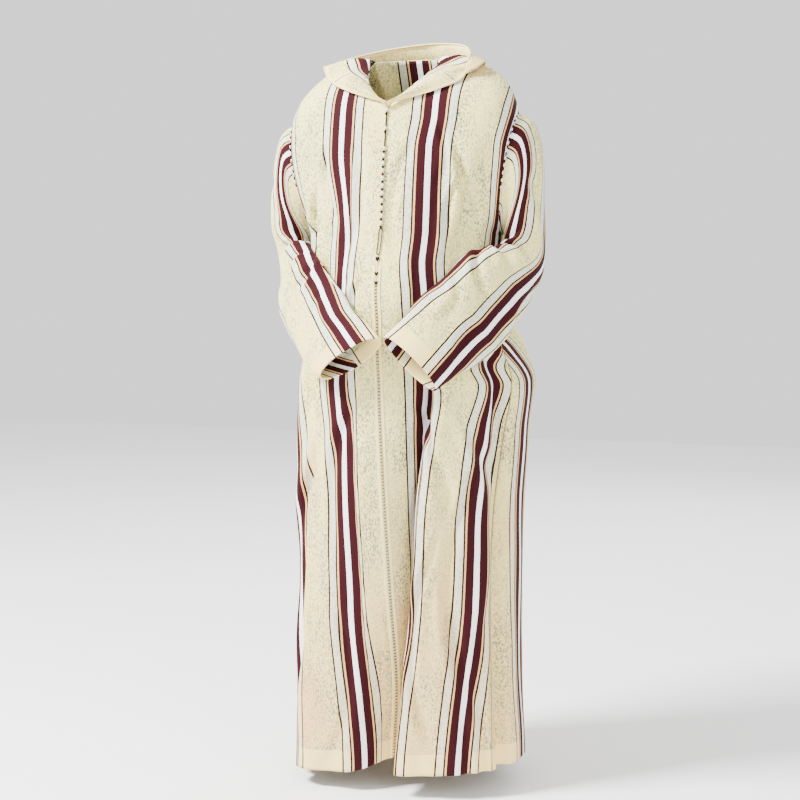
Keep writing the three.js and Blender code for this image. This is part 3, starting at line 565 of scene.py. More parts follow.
# ---- creases that only show on the cloth ----
# x and z where each starts and ends, half width, depth inwards
FRONT_CREASES = [
    (-60, -160, -96, -420, 14, 3.5),
    (58, -150, 44, -430, 12, 3),
    (140, -190, 118, -420, 9, 4.5),
    (-158, -250, -108, -490, 8, 8),
    (-176, -290, -134, -500, 7, 7),
    (-38, -640, -70, -1010, 13, 4),
    (66, -650, 98, -1060, 11, 4.5),
    (-120, -700, -150, -1250, 15, 4.5),
    (-92, -1040, -118, -1395, 11, 3.5),
    (118, -900, 132, -1395, 9, 5),
    (150, -660, 168, -1180, 11, 5),
    (188, -760, 206, -1300, 11, 6),
    (-176, -600, -196, -900, 9, 5),
    (-128, -170, -92, -330, 8, 5),
    (128, -165, 112, -400, 9, 8),
    (150, -215, 128, -400, 6, 5),
    (96, -130, 104, -250, 7, 3),
    (-28, -420, -60, -520, 9, 4),
]
BACK_CREASES = [
    (-96, -150, -44, -520, 17, 5),
    (88, -140, 56, -540, 17, 5),
    (-150, -210, -120, -430, 12, 5),
    (148, -200, 122, -440, 12, 5),
    (4, -430, 12, -1120, 19, 4),
    (-60, -760, -76, -1390, 14, 5),
    (72, -800, 80, -1390, 14, 5),
]
# distance to the front of the sleeve's top line and down the sleeve (share of its length),
# where it starts and ends, half width, depth
LEFT_SLEEVE_CREASES = [
    (100, 0.40, 10, 0.50, 10, 6),
    (95, 0.47, 0, 0.64, 9, 6),
    (90, 0.35, 20, 0.36, 9, 6),
    (140, 0.30, 60, 0.22, 10, 4),
    (60, 0.12, -10, 0.30, 12, 4),
    (-60, 0.40, -110, 0.62, 12, 5),
    (70, 0.66, 20, 0.86, 10, 3),
    (-20, 0.70, -70, 0.92, 10, 3),
]
RIGHT_SLEEVE_CREASES = [
    (100, 0.42, 20, 0.48, 9, 6),
    (95, 0.49, 10, 0.60, 8, 6),
    (90, 0.33, 10, 0.40, 9, 6),
    (140, 0.24, 70, 0.30, 10, 4),
    (50, 0.10, 0, 0.28, 12, 4),
    (-60, 0.42, -110, 0.60, 12, 5),
    (60, 0.66, 10, 0.88, 10, 3),
]
CREASE_DEPTH = 1.5  # how much deeper the worn creases are than the tables say
RIDGE_BESIDE = 0.45  # the ridge beside a trough, as a share of its depth
RIDGE_AWAY = 1.9  # how far from the trough it runs, in the trough's half widths
CREASE_BOW = 0.12  # how far a crease bows to one side, as a share of its length
SEAM_FADE = 22


def trough(a, b, creases):
    """Depth at places (a, b) of troughs drawn as lines, each with a softer ridge beside it."""
    out = 0
    for number, (a0, b0, a1, b1, wide, deep) in enumerate(creases):
        run_a, run_b = a1 - a0, b1 - b0
        length = math.hypot(run_a, run_b)
        t = ((a - a0) * run_a + (b - b0) * run_b) / length**2
        bow = CREASE_BOW * length * np.sin(math.pi * np.clip(t, 0, 1)) * (-1) ** number
        away = ((a - a0) * run_b - (b - b0) * run_a) / length + bow
        ends = smooth((t + 0.08) / 0.3) * smooth((1.08 - t) / 0.45)
        spread = wide * (0.75 + 0.5 * np.clip(t, 0, 1))
        beside = RIDGE_BESIDE * bell(away / spread - RIDGE_AWAY)
        out = out - CREASE_DEPTH * deep * ends * (bell(away / spread) - beside)
    return out


def waver(a, b, seed):
    """Soft unevenness of hanging cloth, up to 1.6 mm."""
    return (
        0.7 * np.sin(a / 21 + 1.7 * np.sin(b / 83 + seed) + seed)
        + 0.5 * np.sin(a / 11.3 + b / 47 + 2.1 * seed)
        + 0.4 * np.sin(b / 29 + a / 35 + 1.9 * np.sin(a / 57 + seed))
    )


def seam_fade(*distances):
    """0 at the seams and 1 away from them, so that the pieces still meet there."""
    return math.prod(smooth(distance / SEAM_FADE) for distance in distances)


# ---- the cloth pieces ----
HEM_BAND = 42
CUFF_BAND = 35
RIM_BAND = 7
BAND_STEP = 3  # over what length the doubled cloth of a band gets thinner
RIM_FADE = 12
HOOD_WAVER = 0.7
STRIPE_MIDDLE = 93  # distance from the centre seam to the middle of the first stripe group
STRIPE_PERIOD = 176
# Height, and the distance from the centre seam of the cloth that lies on the pleat's ridge. More
# of it is hidden behind the ridge than the flank is long.
RIDGE_CLOTH = [(-560, 128), (-642, 128), (-800, 122), (-950, 118), (-1400, 116)]
# Cloth hidden in small tucks: the heights where each starts, is full, starts to open and is gone;
# how far from the centre seam it lies, over what width, and how much cloth it takes up.
RIGHT_TUCKS = [
    (-180, -330, -480, -640, 64, 5, 21),
    (-600, -760, -1000, -1280, 50, 5, 16),
    (-1060, -1382, -1500, -1600, 5, 30, 30),
]
LEFT_TUCKS = [
    (-110, -180, -380, -460, 20, 30, 8),
    (-560, -700, -1500, -1600, 142, 40, 28),
]
# Share of the sleeve's length, and where the middle of a stripe group runs: its distance to the
# front of the sleeve's top line.
LEFT_SLEEVE_STRIPE = [(0, 125), (0.3, 140), (0.5, 141), (0.65, 134), (0.84, 125), (1, 111)]
LEFT_SLEEVE_UPPER = [(0, 66), (0.2, 84), (0.45, 105), (1, 107)]  # the group along its top edge
UPPER_START = -5  # distance to the front where the stripes start to follow the upper group
UPPER_SHORT = 40  # they follow it fully after its own distance less this
RIGHT_SLEEVE_STRIPE = [(0, 84), (0.14, 104), (0.31, 104), (0.56, 76), (0.71, 62), (0.89, 41), (1, 26)]


def front_cloth(side):
    panel = Panel(front_panel(side, FINE), -side)
    across = panel.across
    length, down = panel.rows_down()
    edge = np.zeros(len(length))
    above = np.arange(len(length)) < round(FINE["chest"] * (1 - V_SHARE))
    edge[above] = np.abs(panel.grid[above, 0, 0] - NECK_V[0])
    inner, outer = across + edge[:, None], across[:, -1:] - across
    push = trough(panel.grid[..., 0], panel.grid[..., 2], FRONT_CREASES) + waver(inner * side, down, 0.4)
    panel.push(push * seam_fade(outer, across, down))
    panel.u, panel.v = inner, down
    if side > 0:
        foot, ridge = round(FINE["columns"] * FOOT_SHARE), round(FINE["columns"] * RIDGE_SHARE)
        heights, cloth = np.array(RIDGE_CLOTH, dtype=float).T
        z = panel.grid[:, ridge, 2]
        hidden = (np.interp(-z, -heights, cloth) - inner[:, ridge]) * pleat_grown(z)
        behind = np.clip((np.arange(len(inner[0])) - foot) / (ridge - foot), 0, 1)
        panel.u = inner + hidden[:, None] * behind[None, :]
    z = panel.grid[..., 2]
    for start, full, opens, gone, place, wide, cloth in LEFT_TUCKS if side > 0 else RIGHT_TUCKS:
        grown = fallen(z, start, full) * (1 - fallen(z, opens, gone))
        panel.u = panel.u + cloth * grown * smooth((panel.u - place) / wide)
    panel.edge, panel.seam = length[-1] - down, outer
    return panel


def back_cloth():
    panel = Panel(back_panel(FINE_BACK), 1)
    middle = panel.grid.shape[1] // 2
    from_middle = panel.across - panel.across[:, middle:middle + 1]
    length, down = panel.rows_down()
    outer = np.minimum(panel.across, panel.across[:, -1:] - panel.across)
    push = trough(panel.grid[..., 0], panel.grid[..., 2], BACK_CREASES) + waver(from_middle, down, 2.3)
    panel.push(push * seam_fade(outer, down))
    panel.u, panel.v = np.abs(from_middle) + STRIPE_MIDDLE, down  # a stripe group runs down the middle
    panel.edge, panel.seam = length[-1] - down, outer
    return panel


def sleeve_cloth(stations, side, creases, stripe, upper=None):
    panel = Panel(sleeve_grid(stations, side), 1, ring=True)
    round_length = panel.across[:, -1:]
    to_front = side * -(round_length / 2 - panel.across)
    from_seam = round_length / 2 - np.abs(to_front)
    length, down = panel.rows_down()
    share = length / length[-1]
    creased = trough(to_front, down, [(a0, b0 * length[-1], a1, b1 * length[-1], w, d)
                                      for a0, b0, a1, b1, w, d in creases])
    panel.push((creased + waver(to_front, down, side)) * seam_fade(from_seam, down))
    middle = np.interp(share, *np.array(stripe).T)[:, None]
    if upper:
        above = np.interp(share, *np.array(upper).T)[:, None]
        middle = mix(middle, above, smooth((to_front - UPPER_START) / (above - UPPER_SHORT)))
    panel.u, panel.v = to_front - middle + STRIPE_MIDDLE, down
    panel.edge, panel.seam = length[-1] - down, from_seam
    return panel


def hood_cloth():
    panel = Panel(hood_grid(), 1)
    from_rim = panel.down[-1:] - panel.down
    along = np.broadcast_to(panel.across[-1:], from_rim.shape)
    fade = smooth(from_rim / RIM_FADE) * smooth(panel.down / RIM_FADE)
    panel.push(waver(along, from_rim, 1.1) * fade * HOOD_WAVER)
    panel.u, panel.v = from_rim, along
    panel.edge, panel.seam = from_rim, panel.down
    return panel


# ---- mesh helpers ----
def added(name, data):
    obj = bpy.data.objects.new(name, data)
    bpy.context.scene.collection.objects.link(obj)
    return obj


def new_object(name, vertices, faces, material):
    mesh = bpy.data.meshes.new(name)
    mesh.from_pydata(np.asarray(vertices).tolist(), [], faces)
    mesh.update()
    mesh.polygons.foreach_set("use_smooth", [True] * len(mesh.polygons))
    mesh.materials.append(material)
    obj = added(name, mesh)
    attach(obj, "root")
    return obj


def add_uv(obj, name, values):
    layer = obj.data.uv_layers.new(name=name)
    layer.data.foreach_set("uv", np.asarray(values, dtype=np.float32).reshape(-1))


def cloth_object(name, panel, material, slot, thick, edge_thick=0.0, band=0.0):
    """A closed thin shell: the panel outside, its offset inside, and its four edges."""
    rows, columns = panel.grid.shape[:2]
    spare = 1 if panel.ring else 0
    thickness = thick + edge_thick * smooth((band + BAND_STEP - panel.edge) / BAND_STEP)[..., None]
    inner = panel.grid - panel.normals * thickness
    keep = columns - spare
    vertices = np.concatenate([panel.grid[:, :keep].reshape(-1, 3), inner[:, :keep].reshape(-1, 3)])
    j, i = np.meshgrid(np.arange(rows - 1), np.arange(columns - 1), indexing="ij")
    corners = np.stack([[j, i], [j, i + 1], [j + 1, i + 1], [j + 1, i]], -1).reshape(2, -1, 4)
    layer = rows * keep
    index = lambda place, side: side * layer + place[0] * keep + place[1] % keep

    outside, inside = corners, corners[:, :, ::-1]
    quads = [(outside, index(outside, 0)), (inside, index(inside, 1))]
    rims = [(0, 0, -1), (0, rows - 1, 1)]  # across (0) or down (1), where, and which way round
    if not panel.ring:
        rims += [(1, 0, 1), (1, columns - 1, -1)]
    for axis, fixed, way in rims:
        along = np.arange(panel.grid.shape[1 - axis] - 1)
        a, b = (np.stack([fixed + 0 * along, along + step][::1 - 2 * axis]) for step in (0, 1))
        place = np.stack([a, b, b, a], -1)
        ids = np.stack([index(a, 0), index(b, 0), index(b, 1), index(a, 1)], -1)
        quads.append((place[..., ::way], ids[..., ::way]))
    if panel.outwards < 0:
        quads = [(place[..., ::-1], ids[..., ::-1]) for place, ids in quads]
    faces = np.concatenate([ids.reshape(-1, 4) for _, ids in quads])
    places = np.concatenate([place.reshape(2, -1, 4) for place, _ in quads], 1).reshape(2, -1)
    obj = new_object(name, vertices * MM, faces.tolist(), material)
    pick = lambda values: np.asarray(values)[places[0], places[1]] * MM
    add_uv(obj, "cloth", np.stack([pick(panel.u), pick(panel.v)], -1))
    add_uv(obj, "edges", np.stack([pick(panel.edge), pick(panel.seam)], -1))
    return obj


# One stitch: share of its length, and there its height and its thickness in thread radii.
STITCH = np.array([(0, -0.4, 0.5), (0.22, 0.55, 0.95), (0.5, 0.8, 1), (0.78, 0.55, 0.95), (1, -0.4, 0.5)])


class Thread:
    """Gathers tubes and stitches into one mesh, in millimetres."""

    def __init__(self):
        self.vertices, self.faces, self.count = [], [], 0

    def tube(self, path, normals, radius, sides=6, closed=False):
        path, normals = np.asarray(path, float), np.asarray(normals, float)
        radius = np.broadcast_to(np.asarray(radius, float), len(path))
        if closed:
            ahead = np.roll(path, -1, 0) - np.roll(path, 1, 0)
        else:
            ahead = np.gradient(path, axis=0)
        side = unit(np.cross(unit(ahead), normals))
        out = np.cross(side, unit(ahead))
        turn = TAU * np.arange(sides) / sides
        ring = np.cos(turn)[None, :, None] * side[:, None] + np.sin(turn)[None, :, None] * out[:, None]
        self.vertices.append((path[:, None] + ring * radius[:, None, None]).reshape(-1, 3))
        rows = len(path)
        for j in range(rows if closed else rows - 1):
            low, high = self.count + j * sides, self.count + (j + 1) % rows * sides
            for k in range(sides):
                m = (k + 1) % sides
                self.faces.append((low + k, low + m, high + m, high + k))
        if not closed:
            self.faces.append(tuple(range(self.count + sides - 1, self.count - 1, -1)))
            self.faces.append(tuple(range(self.count + (rows - 1) * sides, self.count + rows * sides)))
        self.count += rows * sides

    def stitch(self, start, end, normal, radius):
        """One short stitch that dips into the cloth at both ends."""
        t, rise, thick = STITCH.T
        path = mix(start, end, t[:, None]) + normal * (rise * radius)[:, None]
        self.tube(path, [normal] * len(path), radius * thick, 5)

    def make(self, name, material, slot):
        return new_object(name, np.concatenate(self.vertices) * MM, self.faces, material)


def resample(path, directions, pitch):
    """Points a pitch apart along a path, with the directions that go with them."""
    run = np.concatenate([[0], np.cumsum(np.linalg.norm(np.diff(path, axis=0), axis=1))])
    count = max(2, int(run[-1] / pitch))
    places = np.linspace(0, run[-1], count + 1)
    return read_off(places, run, path), unit(read_off(places, run, directions))


def stitch_row(threads, path, normals, pitch, share, radius):
    """Stitches along a path, with each thread in turn. Each fills a share of the pitch."""
    points, directions = resample(path, normals, pitch)
    for number, (a, b, normal) in enumerate(zip(points[:-1], points[1:], directions)):
        threads[number % len(threads)].stitch(a, mix(a, b, share), normal, radius)


# ---- materials ----
CREAM = (0.86, 0.75, 0.30)
MOTTLE = (0.19, 0.22, 0.15)
WARM = (0.78, 0.46, 0.19)
HEM_CREAM = (0.91, 0.68, 0.27)
WHITE_STRIPE = (0.88, 0.88, 0.88)
OUTER_STRIPE = (0.67, 0.67, 0.54)
BURGUNDY = (0.029, 0.0036, 0.0056)
DARK_LINE = (0.022, 0.008, 0.005)
TAN = (0.66, 0.40, 0.16)
# Half a stripe group from its middle out: where each band starts (share of the period), its
# colour, and how much of the cream's mottle it shows.
STRIPE_BANDS = [
    (0.0, WHITE_STRIPE, 0.1),
    (0.031, BURGUNDY, 0.0),
    (0.119, TAN, 0.1),
    (0.138, DARK_LINE, 0.0),
    (0.157, OUTER_STRIPE, 0.5),
    (0.237, DARK_LINE, 0.0),
    (0.256, CREAM, 1.0),
]


SHEEN_ROUGH = 0.4
SPECULAR = 0.08
BUMP_HEIGHT = 0.0004


def rgba(colour):
    return colour if hasattr(colour, "links") else (*colour, 1.0)


class Nodes:
    """Short calls for building one material's nodes."""

    def __init__(self, name):
        self.material = bpy.data.materials.new(name)
        self.material.use_nodes = True
        self.tree = self.material.node_tree
        self.shader = self.tree.nodes["Principled BSDF"]

    def set(self, socket, value):
        if hasattr(value, "links"):
            self.tree.links.new(value, socket)
        else:
            socket.default_value = value

    def fill(self, node, values):
        for key, value in values.items():
            self.set(node.inputs[key], value)
        return node.outputs[0]

    def node(self, kind, *inputs, **settings):
        node = self.tree.nodes.new(kind)
        for key, value in settings.items():
            setattr(node, key, value)
        for socket, value in zip(node.inputs, inputs):
            self.set(socket, value)
        return node

    def math(self, operation, *values):
        return self.node("ShaderNodeMath", *values, operation=operation).outputs[0]

    def times(self, first, *others):
        for other in others:
            first = self.math("MULTIPLY", first, other)
        return first

    def plus(self, first, *others):
        for other in others:
            first = self.math("ADD", first, other)
        return first

    def less(self, a, b):
        return self.math("SUBTRACT", a, b)

    def uv(self, name):
        split = self.node("ShaderNodeSeparateXYZ", self.node("ShaderNodeUVMap", uv_map=name).outputs[0])
        return split.outputs[0], split.outputs[1]

    def place(self, *factors):
        """Object coordinates, stretched if factors for x, y and z are given."""
        place = self.node("ShaderNodeTexCoord").outputs["Object"]
        if factors:
            place = self.node("ShaderNodeVectorMath", place, factors, operation="MULTIPLY").outputs[0]
        return place

    def noise(self, vector, scale=1.0, detail=2.0, rough=0.5):
        values = {"Vector": vector, "Scale": scale, "Detail": detail, "Roughness": rough}
        return self.fill(self.node("ShaderNodeTexNoise"), values)

    def flat_noise(self, u, v, across, along):
        """Noise on the cloth's own coordinates, stretched across and along it."""
        vector = self.node("ShaderNodeCombineXYZ", self.times(u, across), self.times(v, along))
        return self.noise(vector.outputs[0])

    def between(self, value, low, high):
        node = self.node("ShaderNodeMapRange", value, low, high, interpolation_type="SMOOTHSTEP")
        return node.outputs[0]

    def mix(self, share, a, b):
        node = self.node("ShaderNodeMix", data_type="RGBA")
        self.fill(node, {0: share, 6: rgba(a), 7: rgba(b)})
        return node.outputs[2]

    def bump(self, height, strength):
        values = {"Strength": strength, "Distance": BUMP_HEIGHT, "Height": height}
        return self.fill(self.node("ShaderNodeBump"), values)

    def finish(self, colour, rough, normal=None, sheen=0.0):
        values = {"Base Color": rgba(colour), "Roughness": rough, "Sheen Weight": sheen,
                  "Sheen Roughness": SHEEN_ROUGH, "Specular IOR Level": SPECULAR}
        if normal is not None:
            values["Normal"] = normal
        self.fill(self.shader, values)
        return self.material


YARN = 0.0013  # pitch of the visible yarns
WHOLE_TURNS = 10  # keeps the stripe count above zero everywhere
FRAY, FRAY_REACH = (900, 220), 0.0009  # noise across and down that moves the bands' edges, and how far
SLUBS, PATCHES, WARM_PATCHES = (290, 290, 190), (16, 16, 7), (9, 9, 4)  # noise along x, y and z
SLUB_RANGE, PATCH_RANGE = (0.42, 0.64), (0.33, 0.66)  # from where to where each noise sets in
PATCH_SHARE, MOTTLE_LEAST = 0.85, 0.35
WARM_HEIGHTS = (0.6, 1.35)  # how far down the cloth turns warmer, from and to
WARM_LOWER, WARM_SHARE = 0.75, 0.8
HEM_SHARE = 0.7  # of the hem's own colour
BAND_EDGE = 0.0005
STITCH_LINE, STITCH_SHARE = 0.0014, 0.4
DASH_PITCH, DASH_SHARE = 0.004, 0.62
THICK_YARNS = (90, 520)
SEAM_ROUND = 0.004
# What each thing adds to the height of the bump.
WEAVE_UP, SLUB_UP, STITCH_UP, SEAM_UP = 0.12, 0.5, -1.6, 0.6


def striped_cloth(name, band, warm_low, warm_high):
    """The loom cloth: stripes along it, slubs and mottle in the cream, a turned edge of a width."""
    n = Nodes(name)
    u, v = n.uv("cloth")
    edge, seam = n.uv("edges")
    frayed = n.plus(u, n.times(n.less(n.flat_noise(u, v, *FRAY), 0.5), FRAY_REACH))
    start = WHOLE_TURNS + 0.5 - STRIPE_MIDDLE / STRIPE_PERIOD
    turns = n.math("FRACT", n.plus(n.math("DIVIDE", frayed, STRIPE_PERIOD * MM), start))
    ramp = n.node("ShaderNodeValToRGB", n.math("ABSOLUTE", n.less(turns, 0.5)))
    ramp.color_ramp.interpolation = "CONSTANT"
    stops = ramp.color_ramp.elements
    for number, (place, colour, mottled) in enumerate(STRIPE_BANDS):
        stop = stops[number] if number < 2 else stops.new(place)
        stop.position = place
        stop.color = (*colour, mottled)
    cream = ramp.outputs[1]

    # mottle: short grey-green slubs, denser in large patches and gone where the cloth is double
    slub = n.between(n.noise(n.place(*SLUBS), 1.0, 3.0, 0.75), *SLUB_RANGE)
    patch = n.between(n.noise(n.place(*PATCHES), 1.0, 3.0, 0.6), *PATCH_RANGE)
    single = n.between(edge, band * MM - BAND_EDGE, band * MM + BAND_EDGE)
    mottle = n.times(slub, n.plus(n.times(patch, PATCH_SHARE), MOTTLE_LEAST), single, cream)
    warm = n.between(n.noise(n.place(*WARM_PATCHES)), warm_low, warm_high)
    warm = n.plus(warm, n.times(n.between(v, *WARM_HEIGHTS), WARM_LOWER))
    colour = n.mix(n.times(warm, cream, WARM_SHARE), ramp.outputs[0], WARM)
    colour = n.mix(n.times(n.less(1.0, single), cream, HEM_SHARE), colour, HEM_CREAM)
    colour = n.mix(mottle, colour, MOTTLE)

    # the stitch line that holds the turned edge
    off = n.math("ABSOLUTE", n.less(edge, band * MM))
    dash = n.math("LESS_THAN", n.math("FRACT", n.math("DIVIDE", u, DASH_PITCH)), DASH_SHARE)
    line = n.times(n.less(1.0, n.between(off, 0.0, STITCH_LINE)), dash)
    colour = n.mix(n.times(line, cream, STITCH_SHARE), colour, MOTTLE)

    # weave and slubs stand up a little, and seams and the stitch line pull in
    weave = n.times(n.math("SINE", n.times(u, TAU / YARN)), n.math("SINE", n.times(v, TAU / YARN)))
    height = n.plus(n.flat_noise(u, v, *THICK_YARNS), n.times(weave, WEAVE_UP), n.times(slub, SLUB_UP))
    seam_in = n.times(n.between(seam, 0.0, SEAM_ROUND), SEAM_UP)
    height = n.plus(height, n.times(line, STITCH_UP), seam_in)
    return n.finish(colour, 0.82, n.bump(height, 0.55), sheen=0.02)


def thread_material(name, colour, other, rough, scale, sheen):
    n = Nodes(name)
    fibre = n.noise(n.place(), scale, 3.0, 0.6)
    flecked = n.mix(n.between(fibre, 0.35, 0.7), colour, other)
    return n.finish(flecked, rough, n.bump(fibre, 0.5), sheen)


body_cream = striped_cloth("striped_cloth_body", HEM_BAND, 0.52, 0.8)
sleeve_cream = striped_cloth("striped_cloth_sleeve", CUFF_BAND, 0.55, 0.85)
hood_cream = striped_cloth("striped_cloth_hood", RIM_BAND, 0.45, 0.75)
white_thread = thread_material("white_silk", (0.92, 0.91, 0.88), (0.80, 0.77, 0.70), 0.45, 900, 0.1)
dark_thread = thread_material("dark_silk", (0.010, 0.004, 0.003), (0.026, 0.012, 0.010), 0.42, 900, 0.05)
cream_thread = thread_material("cream_cord", (0.87, 0.75, 0.36), (0.74, 0.60, 0.27), 0.6, 700, 0.1)
facing_cream = thread_material("facing_cloth", (0.88, 0.76, 0.37), (0.80, 0.66, 0.30), 0.75, 420, 0.05)
grey_thread = thread_material("grey_stitch", (0.03, 0.02, 0.014), (0.08, 0.055, 0.035), 0.6, 700, 0.05)
olive_thread = thread_material("olive_seam", (0.20, 0.14, 0.06), (0.34, 0.25, 0.12), 0.7, 500, 0.05)


# ---- cloth ----
left, right, back = front_cloth(1), front_cloth(-1), back_cloth()
arm_left = sleeve_cloth(SLEEVE_LEFT, 1, LEFT_SLEEVE_CREASES, LEFT_SLEEVE_STRIPE, LEFT_SLEEVE_UPPER)
arm_right = sleeve_cloth(SLEEVE_RIGHT, -1, RIGHT_SLEEVE_CREASES, RIGHT_SLEEVE_STRIPE)
hood = hood_cloth()

# material | slot | thickness | how much thicker a doubled edge is | how wide that is
BODY = (body_cream, "body_cloth", CLOTH, 1.0, HEM_BAND)
SLEEVE = (sleeve_cream, "sleeve_cloth", SLEEVE_CLOTH, 0.8, CUFF_BAND)
HOOD = (hood_cream, "hood_cloth", CLOTH, 0.6, RIM_BAND)
for name, panel, kind in (
    ("front_left", left, BODY),
    ("front_right", right, BODY),
    ("back", back, BODY),
    ("sleeve_left", arm_left, SLEEVE),
    ("sleeve_right", arm_right, SLEEVE),
    ("hood", hood, HOOD),
):
    cloth_object(name + "_cloth", panel, *kind)
    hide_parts(name)


# ---- the centre front ----
FACING_TOP = -400
FACING_INNER, FACING_OUTER = 2.4, 9.0
FACING_POINTS = 8
FACING_LIFT = 0.5  # its height over the cloth, under a dome of up to a millimetre
FACING_THICK = 0.4
EDGE_STITCH_IN, EDGE_STITCH_LIFT = 0.8, 1.35
EDGE_STITCH = (3.2, 0.68, 0.28)  # pitch, share of it that a stitch fills, radius
BRAID_TOP = -103
BRAID_PITCH = 4.0
PLAIT_CORDS = [(-1.3, 0.9, 0.55), (1.3, 0.9, 0.55), (0, 0.7, 0.8)]  # place across, height, radius
CROSS_TOP = -432
CROSS_PITCH = 6.4
CROSS_HALF = 1.9
CROSS_RISE = 0.9
CROSS_LIFT, CROSS_RADIUS = 1.5, 1.15
SEAM_LINE_END = -176
SEAM_LINE_LIFT, SEAM_LINE_RADIUS = 2.3, 1.5
TWIST, TWIST_TURN = 0.35, 1.4  # how far the seam's cord winds, and radians a millimetre

centre_path = mix(left.grid[:, 0], right.grid[:, 0], 0.5)
centre_normal = unit(left.normals[:, 3] + right.normals[:, 3])


def centre_at(z):
    """The centre seam at heights: places, outward normals and directions to the wearer's left."""
    z = np.atleast_1d(np.asarray(z, float))
    known = -centre_path[:, 2]
    place, normal = read_off(-z, known, centre_path), unit(read_off(-z, known, centre_normal))
    upwards = unit(read_off(-z, known, np.roll(centre_path, 1, 0)) - place)
    side = unit(np.cross(upwards, normal))
    return place, normal, side


def facing(name, panel):
    rows = np.nonzero(panel.grid[:, 0, 2] < FACING_TOP)[0]
    places = np.linspace(FACING_INNER, FACING_OUTER, FACING_POINTS)
    lifts = FACING_LIFT + np.sin(math.pi * np.linspace(0.06, 0.94, FACING_POINTS)) ** 0.45
    grid = np.stack([[panel.at(row, place, lift) for place, lift in zip(places, lifts)] for row in rows])
    strip = Panel(grid, panel.outwards)
    strip.u, strip.v = strip.across, strip.down
    strip.edge, strip.seam = strip.across + 1, strip.across
    obj = cloth_object(name + "_strip", strip, facing_cream, "braid", FACING_THICK)
    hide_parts(name)
    stitches = Thread()
    for place in (FACING_INNER + EDGE_STITCH_IN, FACING_OUTER - EDGE_STITCH_IN):
        path = np.stack([panel.at(row, place, EDGE_STITCH_LIFT) for row in rows])
        stitch_row([stitches], path, panel.normals[rows, 2], *EDGE_STITCH)
    return obj, stitches.make(name + "_stitches", cream_thread, "braid")


facing_left, facing_left_stitches = facing("facing_left", left)
facing_right, facing_right_stitches = facing("facing_right", right)


def centre_braid():
    """A plait with slanting grey stitches over it, and the dark cord along the seam's top."""
    cords = Thread()
    place, normal, side = centre_at(np.arange(BRAID_TOP, HEM_Z + 6, -BRAID_PITCH))
    for across, lift, radius in PLAIT_CORDS:
        cords.tube(place + side * across + normal * lift, normal, radius)
    base = cords.make("centre_braid_cords", cream_thread, "braid")
    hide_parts("centre_braid")

    crosses = Thread()
    place, normal, side = centre_at(np.arange(CROSS_TOP, HEM_Z + 8, -CROSS_PITCH))
    reach = side * CROSS_HALF + np.array([0, 0, CROSS_RISE])
    for middle, out, half in zip(place + normal * CROSS_LIFT, normal, reach):
        crosses.stitch(middle - half, middle + half, out, CROSS_RADIUS)
    crosses.make("centre_braid_stitches", grey_thread, "braid")

    line = Thread()
    z = np.arange(BRAID_TOP - 4, SEAM_LINE_END, -2.0)
    place, normal, side = centre_at(z)
    across, out = TWIST * np.cos(z * TWIST_TURN), TWIST * np.sin(z * TWIST_TURN)
    path = place + side * across[:, None] + normal * (SEAM_LINE_LIFT + out[:, None])
    line.tube(path, normal, SEAM_LINE_RADIUS)
    line.make("centre_dark_cord", dark_thread, "dark_thread")


centre_braid()


# ---- knots, loops and arrows ----
SEAT = 2.15  # height over the cloth that the knots stand on
KNOT_FLAT = 0.75  # height of a knot's winding as a share of its width
KNOT_CORD = 0.58
KNOT_CORE = 0.82  # radius of the core as a share of the knot's
KNOT_TILT = 0.42 * math.pi  # how far the cord climbs from the knot's waist towards its poles
CORE_ROWS, CORE_SIDES = 7, 12
# radius | times the cord goes round | loops at each pole | points along it
WHITE_KNOT = (3.1, 3, 5, 110)
DARK_KNOT = (3.0, 2, 5, 70)
KNOT_COUNT = 13


def middle_height(node):
    low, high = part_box(node)
    return (low[2] + high[2]) / 2 / MM


def knot(thread, z, radius, leads, bights, samples):
    """A round button woven from one cord (a Turk's head) over a core."""
    place, normal, side = (part[0] for part in centre_at(z))
    upwards = np.cross(normal, side)
    centre = place + normal * (SEAT + radius * KNOT_FLAT)
    t = TAU * np.arange(samples) / samples
    turn, tilt = leads * t, KNOT_TILT * np.cos(bights * t)
    over = radius * (0.86 + 0.09 * np.sin(2 * bights * t))
    local = np.stack([np.cos(tilt) * np.cos(turn), np.cos(tilt) * np.sin(turn), np.sin(tilt)], -1)
    basis = np.stack([side, upwards, normal * KNOT_FLAT])
    path = centre + (local * over[:, None]) @ basis
    thread.tube(path, local @ np.stack([side, upwards, normal]), KNOT_CORD, closed=True)
    core = np.linspace(-1, 1, CORE_ROWS)
    middle = centre + normal * (core * radius * KNOT_FLAT * KNOT_CORE)[:, None]
    core_radius = radius * KNOT_CORE * np.sqrt(np.clip(1 - core**2, 0.02, 1))
    thread.tube(middle, [upwards] * CORE_ROWS, core_radius, CORE_SIDES)


whites, darks = Thread(), Thread()
button_nodes = [f"button_{k:02d}" for k in range(1, KNOT_COUNT + 1)]
loop_nodes = [f"button_loop_{k:02d}" for k in range(1, KNOT_COUNT + 1)]
for button, loop_node in zip(button_nodes, loop_nodes):
    knot(whites, middle_height(button), *WHITE_KNOT)
    knot(darks, middle_height(loop_node), *DARK_KNOT)
white_knots = whites.make("white_knots", white_thread, "white_thread")
dark_knots = darks.make("dark_knots", dark_thread, "dark_thread")
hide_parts(*button_nodes)
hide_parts(*loop_nodes)


def on_centre(z, points, lift):
    """Flat points (across, up) laid on the centre front round a height."""
    points = np.asarray(points, float)
    place, normal, side = centre_at(z + points[:, 1])
    return place + side * points[:, :1] + normal * lift, normal


